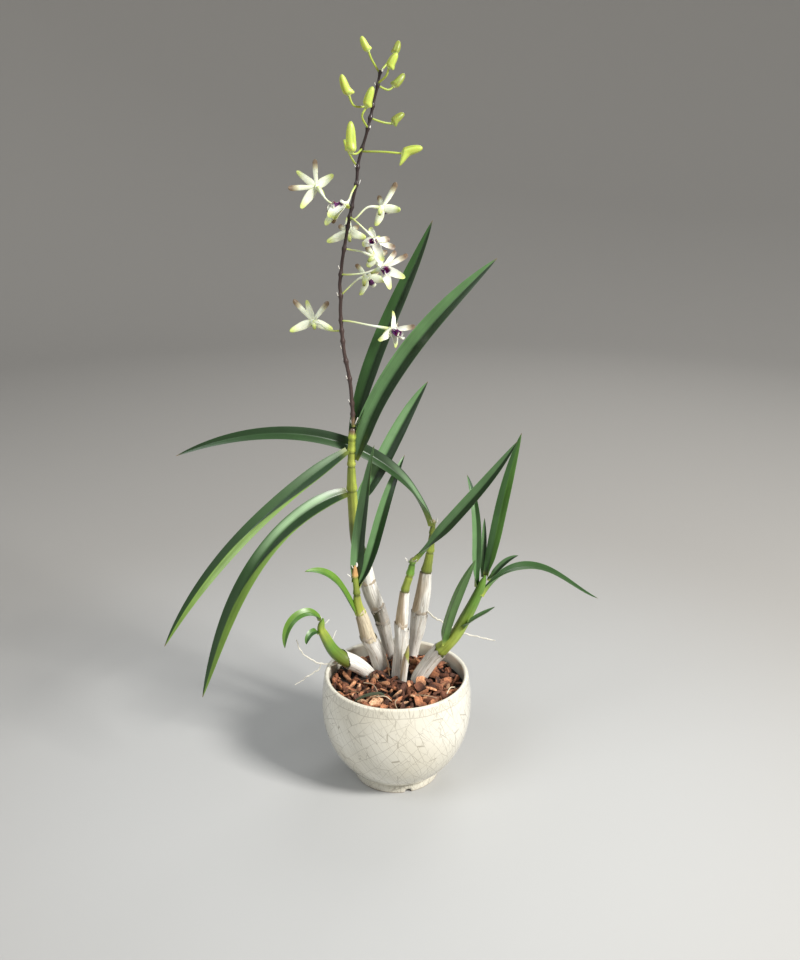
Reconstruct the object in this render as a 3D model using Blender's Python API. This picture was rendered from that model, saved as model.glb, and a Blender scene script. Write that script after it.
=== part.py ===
"""A dendrobium orchid potted in bark in a round glazed pot.

The plan below is in millimetres, with +Z up and the viewer on the -Y side.
The origin is at table level, under the middle of the pot. Angles are in
degrees: an azimuth of 0 points along +X and 90 along +Y, and a rise of 90
points straight up. Meshes are made in metres.
"""

import math

import bpy
from mathutils import Vector

MM = 0.001
GAP = 0.35  # clearance between pieces that touch

# Pot
POT_SIDES = 40
POT_HEIGHT = 93.5
BELLY_RADIUS = 62.3
BELLY_HEIGHT = 66.0
BOWL_DEPTH = 71.0  # the bowl's curve would close this far below the belly
BOWL_ROUNDNESS = 2.1
RIM_RADIUS = 60.0
LIP_RADIUS = 2.0
WALL = 4.0
FOOT_RADIUS = 36.0
FOOT_HEIGHT = 6.5
FOOT_CREASE = 0.6
FOOT_WALL = 7.0
FOOT_RECESS = 3.0
FLOOR_TOP = 9.0
DRAIN_RADIUS = 5.0
NOTCH_RADIUS = 3.0
NOTCH_COUNT = 3
NOTCH_AZIMUTH = -74.5
NOTCH_OVERRUN = 3.0  # how far a notch's cutter passes the foot ring on each side
NOTCH_SIDES = 12
WALL_LEVELS = (9.0, 13.0, 19.0, 27.0, 36.0, 46.0, 56.0, 66.0, 74.0, 81.0)

# Bark mix
BARK_EDGE = 81.0  # height of the bark where it meets the pot
BARK_REACH = 56.6  # radius of the bark's top
BARK_TILT = 2.5  # the bark stands this much higher at the back
BARK_MOUND = 4.0
BARK_BUMP = 0.9
BARK_SIDE_TOP = 75.0  # highest level at which the bark follows the pot's wall
BARK_RINGS = (1.0, 0.82, 0.64, 0.46, 0.28, 0.12)  # rings of its top, as shares of its radius

# Canes: (x, y, z, diameter) from the foot in the bark to the top
CANES = {
    "cane_flowering": [
        (-4, 47, 76, 9.0), (-8, 44, 98, 10.0), (-13, 40, 123, 12.0), (-22, 36, 151, 13.2),
        (-28, 33, 179, 12.3), (-33, 31, 199, 10.5), (-35, 29, 222, 9.0), (-36, 28, 244, 8.3),
        (-36, 27, 270, 6.6), (-35, 26, 290, 6.0), (-34, 26, 298, 5.0),
    ],
    "cane_front_left": [
        (-11, 28, 76, 13.0), (-14, 26, 86, 14.0), (-18, 24, 101, 13.5), (-24, 22, 114, 12.4),
        (-28, 20, 131, 10.5), (-32, 18, 146, 8.0), (-33, 17, 159, 5.7), (-34, 16, 172, 4.8),
        (-34, 16, 183, 3.5),
    ],
    "cane_front_middle": [
        (1, 13, 76, 11.0), (2, 13, 86, 12.0), (4, 14, 108, 12.0), (4, 14, 126, 10.3),
        (5, 15, 140, 9.6), (7, 15, 161, 7.0), (11, 16, 175, 6.5), (14, 17, 190, 4.6),
    ],
    "cane_back_right": [
        (13, 47, 76, 8.5), (16, 47, 96, 9.5), (18, 47, 109, 13.0), (20, 48, 125, 13.8),
        (23, 48, 144, 12.4), (25, 49, 161, 9.6), (28, 50, 178, 7.1), (30, 50, 196, 5.5),
        (31, 50, 210, 4.0),
    ],
    "cane_right": [
        (16, 8, 76, 11.0), (20, 6, 87, 12.5), (27, 5, 99, 12.5), (34, 3, 110, 12.0),
        (42, 0, 120, 11.0), (50, -2, 132, 10.5), (60, -4, 154, 9.5), (66, -5, 169, 8.0),
        (71, -6, 184, 6.0),
    ],
    "shoot_left": [
        (-20, 17, 76, 10.0), (-26, 15, 86, 11.5), (-36, 11, 96, 13.0), (-46, 8, 103, 12.0),
        (-53, 5, 112, 10.5), (-59, 3, 125, 8.8), (-62, 2, 133, 6.8), (-60, 2, 142, 4.4),
    ],
    "shoot_young": [
        (5, 3, 76, 5.0), (6, 3, 88, 5.6), (8, 3, 104, 5.0), (10, 2, 118, 1.6),
    ],
}
CANE_SIDES = 10

# Leaves: (cane, height on it, side of it that the leaf leaves from, length, width,
#          azimuth at base and tip, rise at base, two fifths and tip, turn about its length)
LEAVES = {
    "leaf_crown_right": ("cane_flowering", 271, -15, 197, 18, (-10, -10), (76, 58, 44), 65),
    "leaf_crown_back": ("cane_flowering", 288, 50, 180, 15, (16, 16), (84, 68, 69), 50),
    "leaf_main_right": ("cane_flowering", 227, 60, 119, 15, (40, 17), (48, 57, 54), 45),
    "leaf_arch": ("cane_back_right", 204, 180, 246, 13, (195, 184), (75, 27, -23), -60),
    "leaf_droop_upper": ("cane_flowering", 279, 215, 210, 13, (211, 210), (-24, -35, -58), -45),
    "leaf_droop_lower": ("cane_flowering", 243, 215, 212, 15, (211, 207), (-3, -47, -70), -45),
    "leaf_spear_left": ("cane_front_left", 168, 110, 123, 13, (0, -60), (82, 81, 74), 80),
    "leaf_spear_right": ("cane_front_left", 161, 45, 117, 11, (40, 47), (61, 69, 48), 40),
    "leaf_front_small": ("cane_front_left", 141, 230, 69, 10.5, (209, 211), (61, 60, -2), -35),
    "leaf_left_curl": ("shoot_left", 140, 180, 53, 8, (205, 217), (80, -17, -92), -40),
    "leaf_left_short": ("shoot_left", 129, 225, 20, 6, (225, 235), (70, 0, -92), -40),
    "leaf_middle_long": ("cane_front_middle", 187, -30, 138, 12, (-21, -21), (55, 52, 61), 65),
    "leaf_right_tall": ("cane_right", 183, 45, 118, 11, (34, 34), (79, 77, 70), 35),
    "leaf_right_inner": ("cane_right", 173, 150, 95, 8, (117, 109), (88, 89, 34), -20),
    "leaf_right_narrow": ("cane_right", 181, 110, 50, 5, (75, 75), (60, 85, 90), 10),
    "leaf_right_base": ("cane_right", 120, 225, 87, 10.5, (-25, -25), (84, 73, 63), -110),
    "leaf_right_low": ("cane_right", 137, 280, 41, 7, (-34, -34), (60, 42, 48), 20),
    "leaf_right_stub": ("cane_right", 180, -10, 36, 6, (-25, -25), (56, 54, 25), 60),
    "leaf_right_arch": ("cane_right", 166, -30, 147, 9, (41, 25), (51, -18, -28), 30),
}
LEAF_RINGS = 11
LEAF_THICK = 1.2
LEAF_FOLD = 24.0  # how far each half of the blade rises from flat
LEAF_BASE_SHARE = 0.5  # width at the base, as a share of the widest
LEAF_TWIST_END = 0.35  # share of the length where the blade has turned to its own side
LEAF_WIDEN_END = 0.35
LEAF_TAPER_START = 0.4
LEAF_FOLD_START = 0.15  # the fold is full from this share of the length
LEAF_RISE_SHARE = 0.4  # where along the leaf its middle rise is given

# Flower stem: points up its middle
STEM = [
    (-34, 26, 298.7), (-35, 25, 325), (-37, 24, 341), (-40, 23, 359), (-42, 22, 378),
    (-42, 21, 403), (-42, 21, 415), (-39, 21, 437), (-34, 22, 462), (-29, 23, 484),
    (-27, 24, 500), (-20, 25, 524), (-16, 26, 540), (-11, 27, 562),
]
STEM_RADIUS = (1.7, 1.1)  # at its foot and its top

# Buds: (height where the stalk leaves the stem, point along the stalk,
#        bud's base, bud's tip, bud's width)
BUDS = {
    "bud_1": (560, (-17, 22, 569), (-19, 20, 574), (-24, 18, 584), 4.6),
    "bud_2": (561, (-5, 32, 568), (-1, 34, 573), (2, 36, 582), 4.6),
    "bud_3": (553, (-7, 20, 558), (-5, 18, 563), (1, 16, 573), 5.4),
    "bud_4": (552, (-6, 31, 549), (-2, 33, 551), (6, 36, 560), 5.0),
    "bud_5": (538, (-29, 18, 538), (-33, 15, 545), (-38, 12, 559), 5.6),
    "bud_6": (523, (-24, 15, 531), (-21, 14, 537), (-16, 12, 551), 5.6),
    "bud_7": (530, (-10, 31, 527), (-3, 34, 526), (6, 36, 533), 5.2),
    "bud_8": (509, (-28, 16, 506), (-32, 14, 506), (-32, 13, 528), 6.8),
    "bud_9": (507, (-9, 18, 507), (4, 17, 506), (19, 14, 510), 6.0),
    "bud_10": (496, (-32, 32, 501), (-35, 33, 507), (-38, 33, 515), 3.4),
}
STALK_RADIUS = 0.8
BUD_NECK = 1.6  # the bud's base is this much thicker than its stalk
BUD_TIP_RADIUS = 0.4
BUD_SHAPE = ((0.4, 0.5), (0.8, 0.33))  # (share of the bud's length, radius by its width)
BUD_SIDES = 6

# Flowers: (height where the stalk leaves the stem, point along the stalk, middle,
#           azimuth and rise that it faces, roll, reach of its petals)
FLOWERS = {
    "flower_left_high": (468, (-46, 32, 474), (-58, 34, 481), 140, 20, 0, 18),
    "flower_hanging": (484, (-32, 13, 473), (-38, 9, 467), 200, -60, 0, 12),
    "flower_right_high": (460, (-21, 22, 469), (-11, 22, 468), 20, 10, 0, 16),
    "flower_behind": (454, (-36, 36, 449), (-37, 44, 447), 95, 0, 0, 16),
    "flower_middle": (461, (-25, 14, 456), (-15, 11, 446), -60, -20, 0, 12),
    "flower_front": (419, (-31, 12, 420), (-12, 6, 426), -40, -10, 20, 15),
    "flower_inner": (438, (-28, 27, 435), (-17, 32, 432), 60, 0, 0, 13),
    "flower_low_middle": (403, (-32, 22, 414), (-22, 24, 416), 10, 0, 0, 14),
    "flower_left_low": (376, (-55, 31, 377), (-64, 36, 380), 115, 5, 0, 18),
    "flower_right_low": (384, (-20, 14, 382), (-4, 12, 379), -15, -10, 0, 16),
}
FLOWER_EYE = 3.0  # radius where the petals part
FLOWER_THICK = 0.9
FLOWER_CUP = 4.0  # the petals' tips lie this far forward
COLUMN_REACH = 5.0
PETAL_WIDTHS = (3.2, 2.2, 3.6, 3.6, 2.2)  # half widths, from the top one round
PETAL_WIDEST = 0.55  # share of the reach where a petal is widest
PETAL_LIFT = 0.4  # share of the cup that it has risen there
OVARY_LENGTH = 2.5
OVARY_SWELL = 1.5

# Roots in the air: points along the middle
ROOTS = {
    "root_right": [
        (26.2, 43.2, 128), (34, 41, 122), (42, 40, 118), (56, 39, 110), (70, 38, 106),
        (85, 36, 103),
    ],
    "root_left": [
        (-45.6, 14.9, 96.5), (-49, 11, 95.7), (-53, 8, 96), (-60.5, 6, 97.6), (-69.5, 6, 100.4),
        (-77.4, 6, 107.3), (-80.4, 6, 112.3), (-83.3, 6, 120.2),
    ],
}
ROOT_RADIUS = 0.75

# Materials: (colour, roughness)
COLOURS = {
    "glaze": ((0.85, 0.83, 0.76), 0.15),
    "bark": ((0.22, 0.10, 0.06), 0.85),
    "cane": ((0.50, 0.55, 0.28), 0.55),
    "leaf": ((0.07, 0.16, 0.06), 0.35),
    "stem": ((0.10, 0.05, 0.05), 0.45),
    "bud": ((0.55, 0.65, 0.20), 0.45),
    "petal": ((0.85, 0.86, 0.70), 0.55),
    "root": ((0.75, 0.73, 0.66), 0.80),
}


def clear_scene():
    for item in list(bpy.data.objects):
        bpy.data.objects.remove(item, do_unlink=True)


def make_material(name):
    colour, roughness = COLOURS[name]
    material = bpy.data.materials.new(name)
    material.use_nodes = True
    shader = material.node_tree.nodes["Principled BSDF"]
    shader.inputs["Base Color"].default_value = (*colour, 1.0)
    shader.inputs["Roughness"].default_value = roughness
    shader.inputs["Metallic"].default_value = 0.0
    return material


def add_object(name, points, faces, material):
    """An object from points in millimetres, shaded smooth but for sharp edges."""
    mesh = bpy.data.meshes.new(name)
    mesh.from_pydata([Vector(p) * MM for p in points], [], faces)
    mesh.materials.append(material)
    mesh.shade_smooth()
    mesh.set_sharp_from_angle(angle=math.radians(40))
    made = bpy.data.objects.new(name, mesh)
    bpy.context.scene.collection.objects.link(made)
    return made


def smooth_path(points, steps):
    """Points on a Catmull-Rom curve through the given ones, in any number of dimensions."""
    rows = [tuple(p) for p in points]
    first = tuple(2 * a - b for a, b in zip(rows[0], rows[1]))
    last = tuple(2 * a - b for a, b in zip(rows[-1], rows[-2]))
    rows = [first] + rows + [last]
    path = []
    for a, b, c, d in zip(rows, rows[1:], rows[2:], rows[3:]):
        for step in range(steps):
            t = step / steps
            path.append(tuple(
                0.5 * (2 * q + (r - p) * t + (2 * p - 5 * q + 4 * r - s) * t * t
                       + (3 * q - p - 3 * r + s) * t ** 3)
                for p, q, r, s in zip(a, b, c, d)
            ))
    path.append(rows[-2])
    return path


def at_height(path, height):
    """The row of a rising path at one height, each value on the straight line between."""
    for low, high in zip(path, path[1:]):
        if low[2] <= height <= high[2]:
            share = (height - low[2]) / (high[2] - low[2])
            return tuple(a + (b - a) * share for a, b in zip(low, high))
    return path[-1]


def direction(azimuth, rise):
    a = math.radians(azimuth)
    e = math.radians(rise)
    return Vector((math.cos(e) * math.cos(a), math.cos(e) * math.sin(a), math.sin(e)))


def loft(centres, radii, sides, first=None):
    """A closed tube: rings across the path, turned as little as they can be."""
    centres = [Vector(c) for c in centres]
    points = []
    across = Vector(first) if first else Vector((1, 0, 0))
    for i, (centre, radius) in enumerate(zip(centres, radii)):
        ahead = centres[min(i + 1, len(centres) - 1)] - centres[max(i - 1, 0)]
        ahead.normalize()
        across = (across - ahead * across.dot(ahead)).normalized()
        other = ahead.cross(across)
        for k in range(sides):
            angle = math.tau * k / sides
            points.append(centre + radius * (across * math.cos(angle) + other * math.sin(angle)))
    faces = [tuple(reversed(range(sides)))]
    for i in range(len(centres) - 1):
        low = i * sides
        for k in range(sides):
            nxt = (k + 1) % sides
            faces.append((low + k, low + nxt, low + sides + nxt, low + sides + k))
    top = (len(centres) - 1) * sides
    faces.append(tuple(range(top, top + sides)))
    return points, faces


def cane_tube(path, extra=0.0):
    return loft([row[:3] for row in path], [row[3] / 2 + extra for row in path], CANE_SIDES)


def body_radius(z):
    """The pot's outer radius above its foot."""
    if z <= BELLY_HEIGHT:
        drop = (BELLY_HEIGHT - z) / BOWL_DEPTH
        return BELLY_RADIUS * (1 - drop ** BOWL_ROUNDNESS) ** (1 / BOWL_ROUNDNESS)
    rise = (z - BELLY_HEIGHT) / (POT_HEIGHT - BELLY_HEIGHT)
    return BELLY_RADIUS - (BELLY_RADIUS - RIM_RADIUS) * rise ** 2


def pot_profile():
    """Radius and height of the pot's section, from the drain hole out, up and back in."""
    lip_middle = RIM_RADIUS - LIP_RADIUS
    lip_height = POT_HEIGHT - LIP_RADIUS
    lip = [
        (lip_middle + LIP_RADIUS * math.cos(math.radians(a)),
         lip_height + LIP_RADIUS * math.sin(math.radians(a)))
        for a in range(0, 181, 45)
    ]
    return (
        [(DRAIN_RADIUS, FOOT_RECESS), (FOOT_RADIUS - FOOT_WALL, FOOT_RECESS),
         (FOOT_RADIUS - FOOT_WALL, 0.0), (FOOT_RADIUS, 0.0), (FOOT_RADIUS, FOOT_HEIGHT),
         (FOOT_RADIUS - FOOT_CREASE, FOOT_HEIGHT + 1)]
        + [(body_radius(z), z) for z in WALL_LEVELS]
        + lip
        + [(body_radius(z) - WALL, z) for z in reversed(WALL_LEVELS)]
        + [(DRAIN_RADIUS, FLOOR_TOP)]
    )


def build_pot(material):
    profile = pot_profile()
    count = len(profile)
    points = []
    for k in range(POT_SIDES):
        angle = math.tau * k / POT_SIDES
        points += [(r * math.cos(angle), r * math.sin(angle), z) for r, z in profile]
    faces = []
    for k in range(POT_SIDES):
        here = k * count
        after = (k + 1) % POT_SIDES * count
        for i in range(count):
            j = (i + 1) % count
            faces.append((here + i, here + j, after + j, after + i)[::-1])
    pot = add_object("pot", points, faces, material)
    for k in range(NOTCH_COUNT):
        azimuth = NOTCH_AZIMUTH + 360 / NOTCH_COUNT * k
        inner = direction(azimuth, 0) * (FOOT_RADIUS - FOOT_WALL - NOTCH_OVERRUN)
        outer = direction(azimuth, 0) * (FOOT_RADIUS + NOTCH_OVERRUN)
        arch = loft([inner, outer], [NOTCH_RADIUS] * 2, NOTCH_SIDES, (0, 0, 1))
        cut(pot, f"notch_cutter_{k}", arch)


def cut(target, name, shape):
    """Take a closed shape out of an object."""
    cutter = add_object(name, *shape, target.data.materials[0])
    cutter.hide_render = True
    cutter.display_type = "WIRE"
    boolean = target.modifiers.new(name, "BOOLEAN")
    boolean.operation = "DIFFERENCE"
    boolean.solver = "EXACT"
    boolean.object = cutter


def bark_height(x, y):
    """Height of the bark's top: a low mound with loose chips, higher at the back."""
    share = min(math.hypot(x, y) / BARK_REACH, 1.0)
    chips = math.sin(x * 0.55 + 1.3) * math.sin(y * 0.61) + 0.6 * math.sin(x * 0.23 - y * 0.31)
    inside = 1 - share ** 2
    return BARK_EDGE + BARK_TILT * y / BARK_REACH + BARK_MOUND * inside + BARK_BUMP * chips * inside


def bark_column(angle):
    """Points from the bark's bottom edge up its side and in over its top."""
    levels = [z for z in WALL_LEVELS[1:] if z < BARK_SIDE_TOP]
    side = [(body_radius(WALL_LEVELS[0]) - WALL - GAP, FLOOR_TOP + GAP)]
    side += [(body_radius(z) - WALL - GAP, z) for z in levels]
    c, s = math.cos(angle), math.sin(angle)
    points = [(r * c, r * s, z) for r, z in side]
    for share in BARK_RINGS:
        x, y = BARK_REACH * share * c, BARK_REACH * share * s
        points.append((x, y, bark_height(x, y)))
    return points


def build_bark(material, paths):
    """The bark mix fills the pot, with a socket for each cane's foot."""
    columns = [bark_column(math.tau * k / POT_SIDES) for k in range(POT_SIDES)]
    count = len(columns[0])
    points = [point for column in columns for point in column]
    bottom, top = len(points), len(points) + 1
    points += [(0, 0, FLOOR_TOP + GAP), (0, 0, bark_height(0, 0))]
    faces = []
    for k in range(POT_SIDES):
        here = k * count
        after = (k + 1) % POT_SIDES * count
        for i in range(count - 1):
            faces.append((here + i, after + i, after + i + 1, here + i + 1))
        faces.append((bottom, after, here))
        faces.append((top, here + count - 1, after + count - 1))
    bark = add_object("bark_mix", points, faces, material)
    for name, path in paths.items():
        foot, above, *rest = path[:4]
        down = (Vector(foot[:3]) - Vector(above[:3])).normalized()
        floor = (*(Vector(foot[:3]) + down * GAP), foot[3])
        cut(bark, f"socket_{name}", cane_tube([floor, above, *rest], GAP))


def leaf_width(share, width):
    """A strap that widens from its base and narrows to a point."""
    part = min(share / LEAF_WIDEN_END, 1.0)
    opening = LEAF_BASE_SHARE + (1 - LEAF_BASE_SHARE) * math.sin(part * math.pi / 2)
    fall = max(share - LEAF_TAPER_START, 0.0) / (1 - LEAF_TAPER_START)
    return width * opening * (1 - fall ** 2.3) ** 0.8


def leaf_rise(share, rises):
    """The parabola through the rises at the base, part way along and at the tip."""
    low, middle, high = rises
    m = LEAF_RISE_SHARE
    return (low * (share - m) * (share - 1) / m
            + middle * share * (share - 1) / (m * (m - 1))
            + high * share * (share - m) / (1 - m))


def leaf_line(base, length, azimuths, rises, rings):
    """Points up a leaf's middle, with the azimuth and rise of each stretch."""
    point = Vector(base)
    rows = [(point.copy(), azimuths[0], rises[0])]
    for i in range(rings):
        share = (i + 0.5) / rings
        azimuth = azimuths[0] + (azimuths[1] - azimuths[0]) * share
        rise = leaf_rise(share, rises)
        point = point + direction(azimuth, rise) * (length / rings)
        rows.append((point.copy(), azimuth, rise))
    return rows


def leaf_roll(share, level, above, side, turn):
    """The blade's roll: it faces the cane and the sky at its base, then turns to its own side."""
    facing = Vector((0, 0, 1)) - direction(side, 0)
    start = math.atan2(-facing.dot(level), facing.dot(above))
    change = (turn - start + math.pi) % math.tau - math.pi
    part = min(share / LEAF_TWIST_END, 1.0)
    return start + change * part * part * (3 - 2 * part)


def build_leaf(name, row, paths, material):
    """A blade folded along its middle, a chevron across, ending in a point."""
    cane, height, side, length, width, azimuths, rises, turn = row
    x, y, z, across = at_height(paths[cane], height)
    base = Vector((x, y, z)) + direction(side, 0) * (across / 2 + GAP + LEAF_THICK / 2)
    line = leaf_line(base, length, azimuths, rises, LEAF_RINGS)
    points = []
    for i, (point, azimuth, rise) in enumerate(line[:-1]):
        share = i / LEAF_RINGS
        ahead = direction(azimuth, rise)
        level = direction(azimuth + 90, 0)
        above = ahead.cross(level)
        roll = leaf_roll(share, level, above, side, math.radians(turn))
        sideways = level * math.cos(roll) + above * math.sin(roll)
        upward = above * math.cos(roll) - level * math.sin(roll)
        half = leaf_width(share, width) / 2
        fold = math.radians(LEAF_FOLD) * min(share / LEAF_FOLD_START, 1.0)
        edge_out = half * math.cos(fold)
        edge_up = half * math.sin(fold)
        thick = LEAF_THICK * (1 - 0.5 * share)
        points += [
            point - sideways * edge_out + upward * edge_up,
            point - upward * thick / 2,
            point + sideways * edge_out + upward * edge_up,
            point + upward * thick / 2,
        ]
    tip = len(points)
    points.append(line[-1][0])
    faces = [(0, 3, 2, 1)]
    for i in range(LEAF_RINGS - 1):
        left, keel, right, crease = range(4 * i, 4 * i + 4)
        next_left, next_keel, next_right, next_crease = range(4 * i + 4, 4 * i + 8)
        # both skins are split along the same diagonals, so that they never cross
        faces += [
            (left, keel, next_keel), (left, next_keel, next_left),
            (keel, right, next_keel), (right, next_right, next_keel),
            (right, crease, next_crease), (right, next_crease, next_right),
            (crease, left, next_crease), (left, next_left, next_crease),
        ]
    last = 4 * (LEAF_RINGS - 1)
    faces += [(last + k, last + (k + 1) % 4, tip) for k in range(4)]
    add_object(name, points, faces, material)


def stem_rows():
    """Points up the flower stem with its radius."""
    foot, top = STEM_RADIUS
    low, high = STEM[0][2], STEM[-1][2]
    return [
        (x, y, z, foot + (top - foot) * (z - low) / (high - low))
        for x, y, z in smooth_path(STEM, 2)
    ]


def stalk_start(stem, height, towards):
    """The point just off the stem where a stalk begins, on the side it leaves to."""
    x, y, z, radius = at_height(stem, height)
    away = Vector(towards) - Vector((x, y, z))
    away.z = 0
    return Vector((x, y, z)) + away.normalized() * (radius + GAP + STALK_RADIUS / 2)


def build_bud(name, row, stem, material):
    """A stalk that swells into a closed bud."""
    height, bend, low, tip, width = row
    start = stalk_start(stem, height, bend)
    rows = [(*start, STALK_RADIUS), (*bend, STALK_RADIUS), (*low, STALK_RADIUS * BUD_NECK)]
    for share, swell in BUD_SHAPE:
        rows.append((*Vector(low).lerp(Vector(tip), share), width * swell))
    rows.append((*tip, BUD_TIP_RADIUS))
    rows = smooth_path(rows, 2)
    radii = [max(row[3], BUD_TIP_RADIUS) for row in rows]
    add_object(name, *loft([row[:3] for row in rows], radii, BUD_SIDES), material)


def flower_frame(azimuth, rise, roll):
    """The directions ahead of the flower, to its top and to its right."""
    facing = direction(azimuth, rise)
    level = direction(azimuth + 90, 0)
    above = facing.cross(level)
    turn = math.radians(roll)
    top = above * math.cos(turn) + level * math.sin(turn)
    return facing, top, top.cross(facing)


def build_flower(name, row, stem, material):
    """Five petals round an eye, a column in front, and the stalk behind."""
    height, bend, middle, azimuth, rise, roll, reach = row
    middle = Vector(middle)
    facing, top, right = flower_frame(azimuth, rise, roll)

    def place(angle, radius, forward):
        across = top * math.cos(angle) + right * math.sin(angle)
        return middle + across * radius + facing * forward

    petals = len(PETAL_WIDTHS)
    step = math.tau / petals
    points = [place((k - 0.5) * step, FLOWER_EYE, 0.0) for k in range(petals)]
    points += [place((k - 0.5) * step, FLOWER_EYE, -FLOWER_THICK) for k in range(petals)]
    faces = []
    far = reach * PETAL_WIDEST
    lift = FLOWER_CUP * PETAL_LIFT
    for k, half in enumerate(PETAL_WIDTHS):
        angle = k * step
        spread = math.atan2(half, far)
        left_front, right_front, left_back, right_back, end = range(len(points), len(points) + 5)
        points += [
            place(angle - spread, far, lift),
            place(angle + spread, far, lift),
            place(angle - spread, far, lift - FLOWER_THICK),
            place(angle + spread, far, lift - FLOWER_THICK),
            place(angle, reach, FLOWER_CUP),
        ]
        a, b = k, (k + 1) % petals
        faces += [
            (a, b, right_front, left_front), (left_front, right_front, end),
            (b + petals, a + petals, left_back, right_back), (right_back, left_back, end),
            (a + petals, a, left_front, left_back), (left_back, left_front, end),
            (b, b + petals, right_back, right_front), (right_front, right_back, end),
        ]
    column = len(points)
    points.append(place(0, 0, COLUMN_REACH))
    faces += [((k + 1) % petals, k, column) for k in range(petals)]
    neck = middle - facing * (FLOWER_THICK + OVARY_LENGTH)
    route = [r[:3] for r in smooth_path([neck, Vector(bend), stalk_start(stem, height, bend)], 3)]
    radii = [STALK_RADIUS * OVARY_SWELL] + [STALK_RADIUS] * (len(route) - 1)
    tube, sides = loft(route, radii, petals, points[petals] - middle)
    base = len(points)
    points += tube
    faces += [tuple(base + i for i in face) for face in sides[1:]]
    for k in range(petals):
        nxt = (k + 1) % petals
        faces.append((petals + k, petals + nxt, base + nxt, base + k))
    add_object(name, points, faces, material)


def main():
    clear_scene()
    materials = {name: make_material(name) for name in COLOURS}
    paths = {name: smooth_path(rows, 2) for name, rows in CANES.items()}
    build_pot(materials["glaze"])
    build_bark(materials["bark"], paths)
    for name, path in paths.items():
        add_object(name, *cane_tube(path), materials["cane"])
    for name, row in LEAVES.items():
        build_leaf(name, row, paths, materials["leaf"])
    stem = stem_rows()
    shape = loft([row[:3] for row in stem], [row[3] for row in stem], 8)
    add_object("flower_stem", *shape, materials["stem"])
    for name, row in BUDS.items():
        build_bud(name, row, stem, materials["bud"])
    for name, row in FLOWERS.items():
        build_flower(name, row, stem, materials["petal"])
    for name, points in ROOTS.items():
        route = smooth_path(points, 2)
        add_object(name, *loft(route, [ROOT_RADIUS] * len(route), 6), materials["root"])


main()
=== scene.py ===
"""The looks of a dendrobium orchid potted in bark in a round crackle-glazed pot.

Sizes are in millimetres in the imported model's frame, with +Z up, the viewer on
the -Y side and the origin at table level under the middle of the pot. An azimuth
of 0 points along +X and 90 along +Y, and a rise of 90 points straight up. What
the viewer sees is given as (right, up, away). Meshes are made in metres.
"""

import math
import random

import bpy
import numpy as np
from mathutils import Euler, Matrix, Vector, noise


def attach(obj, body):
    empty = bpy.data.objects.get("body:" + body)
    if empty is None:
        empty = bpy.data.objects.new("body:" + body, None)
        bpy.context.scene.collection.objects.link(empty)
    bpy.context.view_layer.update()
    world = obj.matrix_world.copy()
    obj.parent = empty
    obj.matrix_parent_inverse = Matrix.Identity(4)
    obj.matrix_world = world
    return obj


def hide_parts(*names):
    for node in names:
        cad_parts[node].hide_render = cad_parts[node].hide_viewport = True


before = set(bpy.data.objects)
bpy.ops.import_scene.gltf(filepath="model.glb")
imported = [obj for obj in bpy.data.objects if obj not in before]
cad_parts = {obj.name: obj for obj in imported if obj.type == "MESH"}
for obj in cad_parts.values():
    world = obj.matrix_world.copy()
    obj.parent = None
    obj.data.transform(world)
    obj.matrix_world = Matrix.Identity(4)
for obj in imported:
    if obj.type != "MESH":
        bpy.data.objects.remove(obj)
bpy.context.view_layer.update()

MM = 0.001
BODY = "root"

# Camera: the photograph's place, pitch and field of view
CAMERA_PLACE = (2.9, -785.6, 542.8)
CAMERA_PITCH = 19.6  # degrees below the horizon
LENS = 40.125
SENSOR = 36.0

# Pot
POT_COLUMNS = 144
POT_HEIGHT = 93.5
BELLY_RADIUS = 62.3
BELLY_HEIGHT = 66.0
BOWL_DEPTH = 71.0
BOWL_ROUNDNESS = 2.1
RIM_RADIUS = 60.0
LIP_RADIUS = 2.0
WALL = 4.0
FOOT_RADIUS = 36.0
FOOT_HEIGHT = 6.5
FOOT_CREASE = 0.6
FOOT_WALL = 7.0
FOOT_RECESS = 3.0
FOOT_ROUND = 0.8
FLOOR_TOP = 9.0
DRAIN_RADIUS = 5.0
NOTCH_RADIUS = 3.0
NOTCH_COUNT = 3
NOTCH_AZIMUTH = -74.5
NOTCH_OVERRUN = 3.0
WALL_BOTTOM = 9.0
WALL_TOP = 81.0
WALL_ROWS = 30

# Bark mix
BARK_EDGE = 81.0
BARK_REACH = 56.6
BARK_TILT = 2.5
BARK_MOUND = 4.0
BARK_BUMP = 0.9
BARK_SKIRT = 66.0  # the visible bark reaches down to here inside the pot

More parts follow.
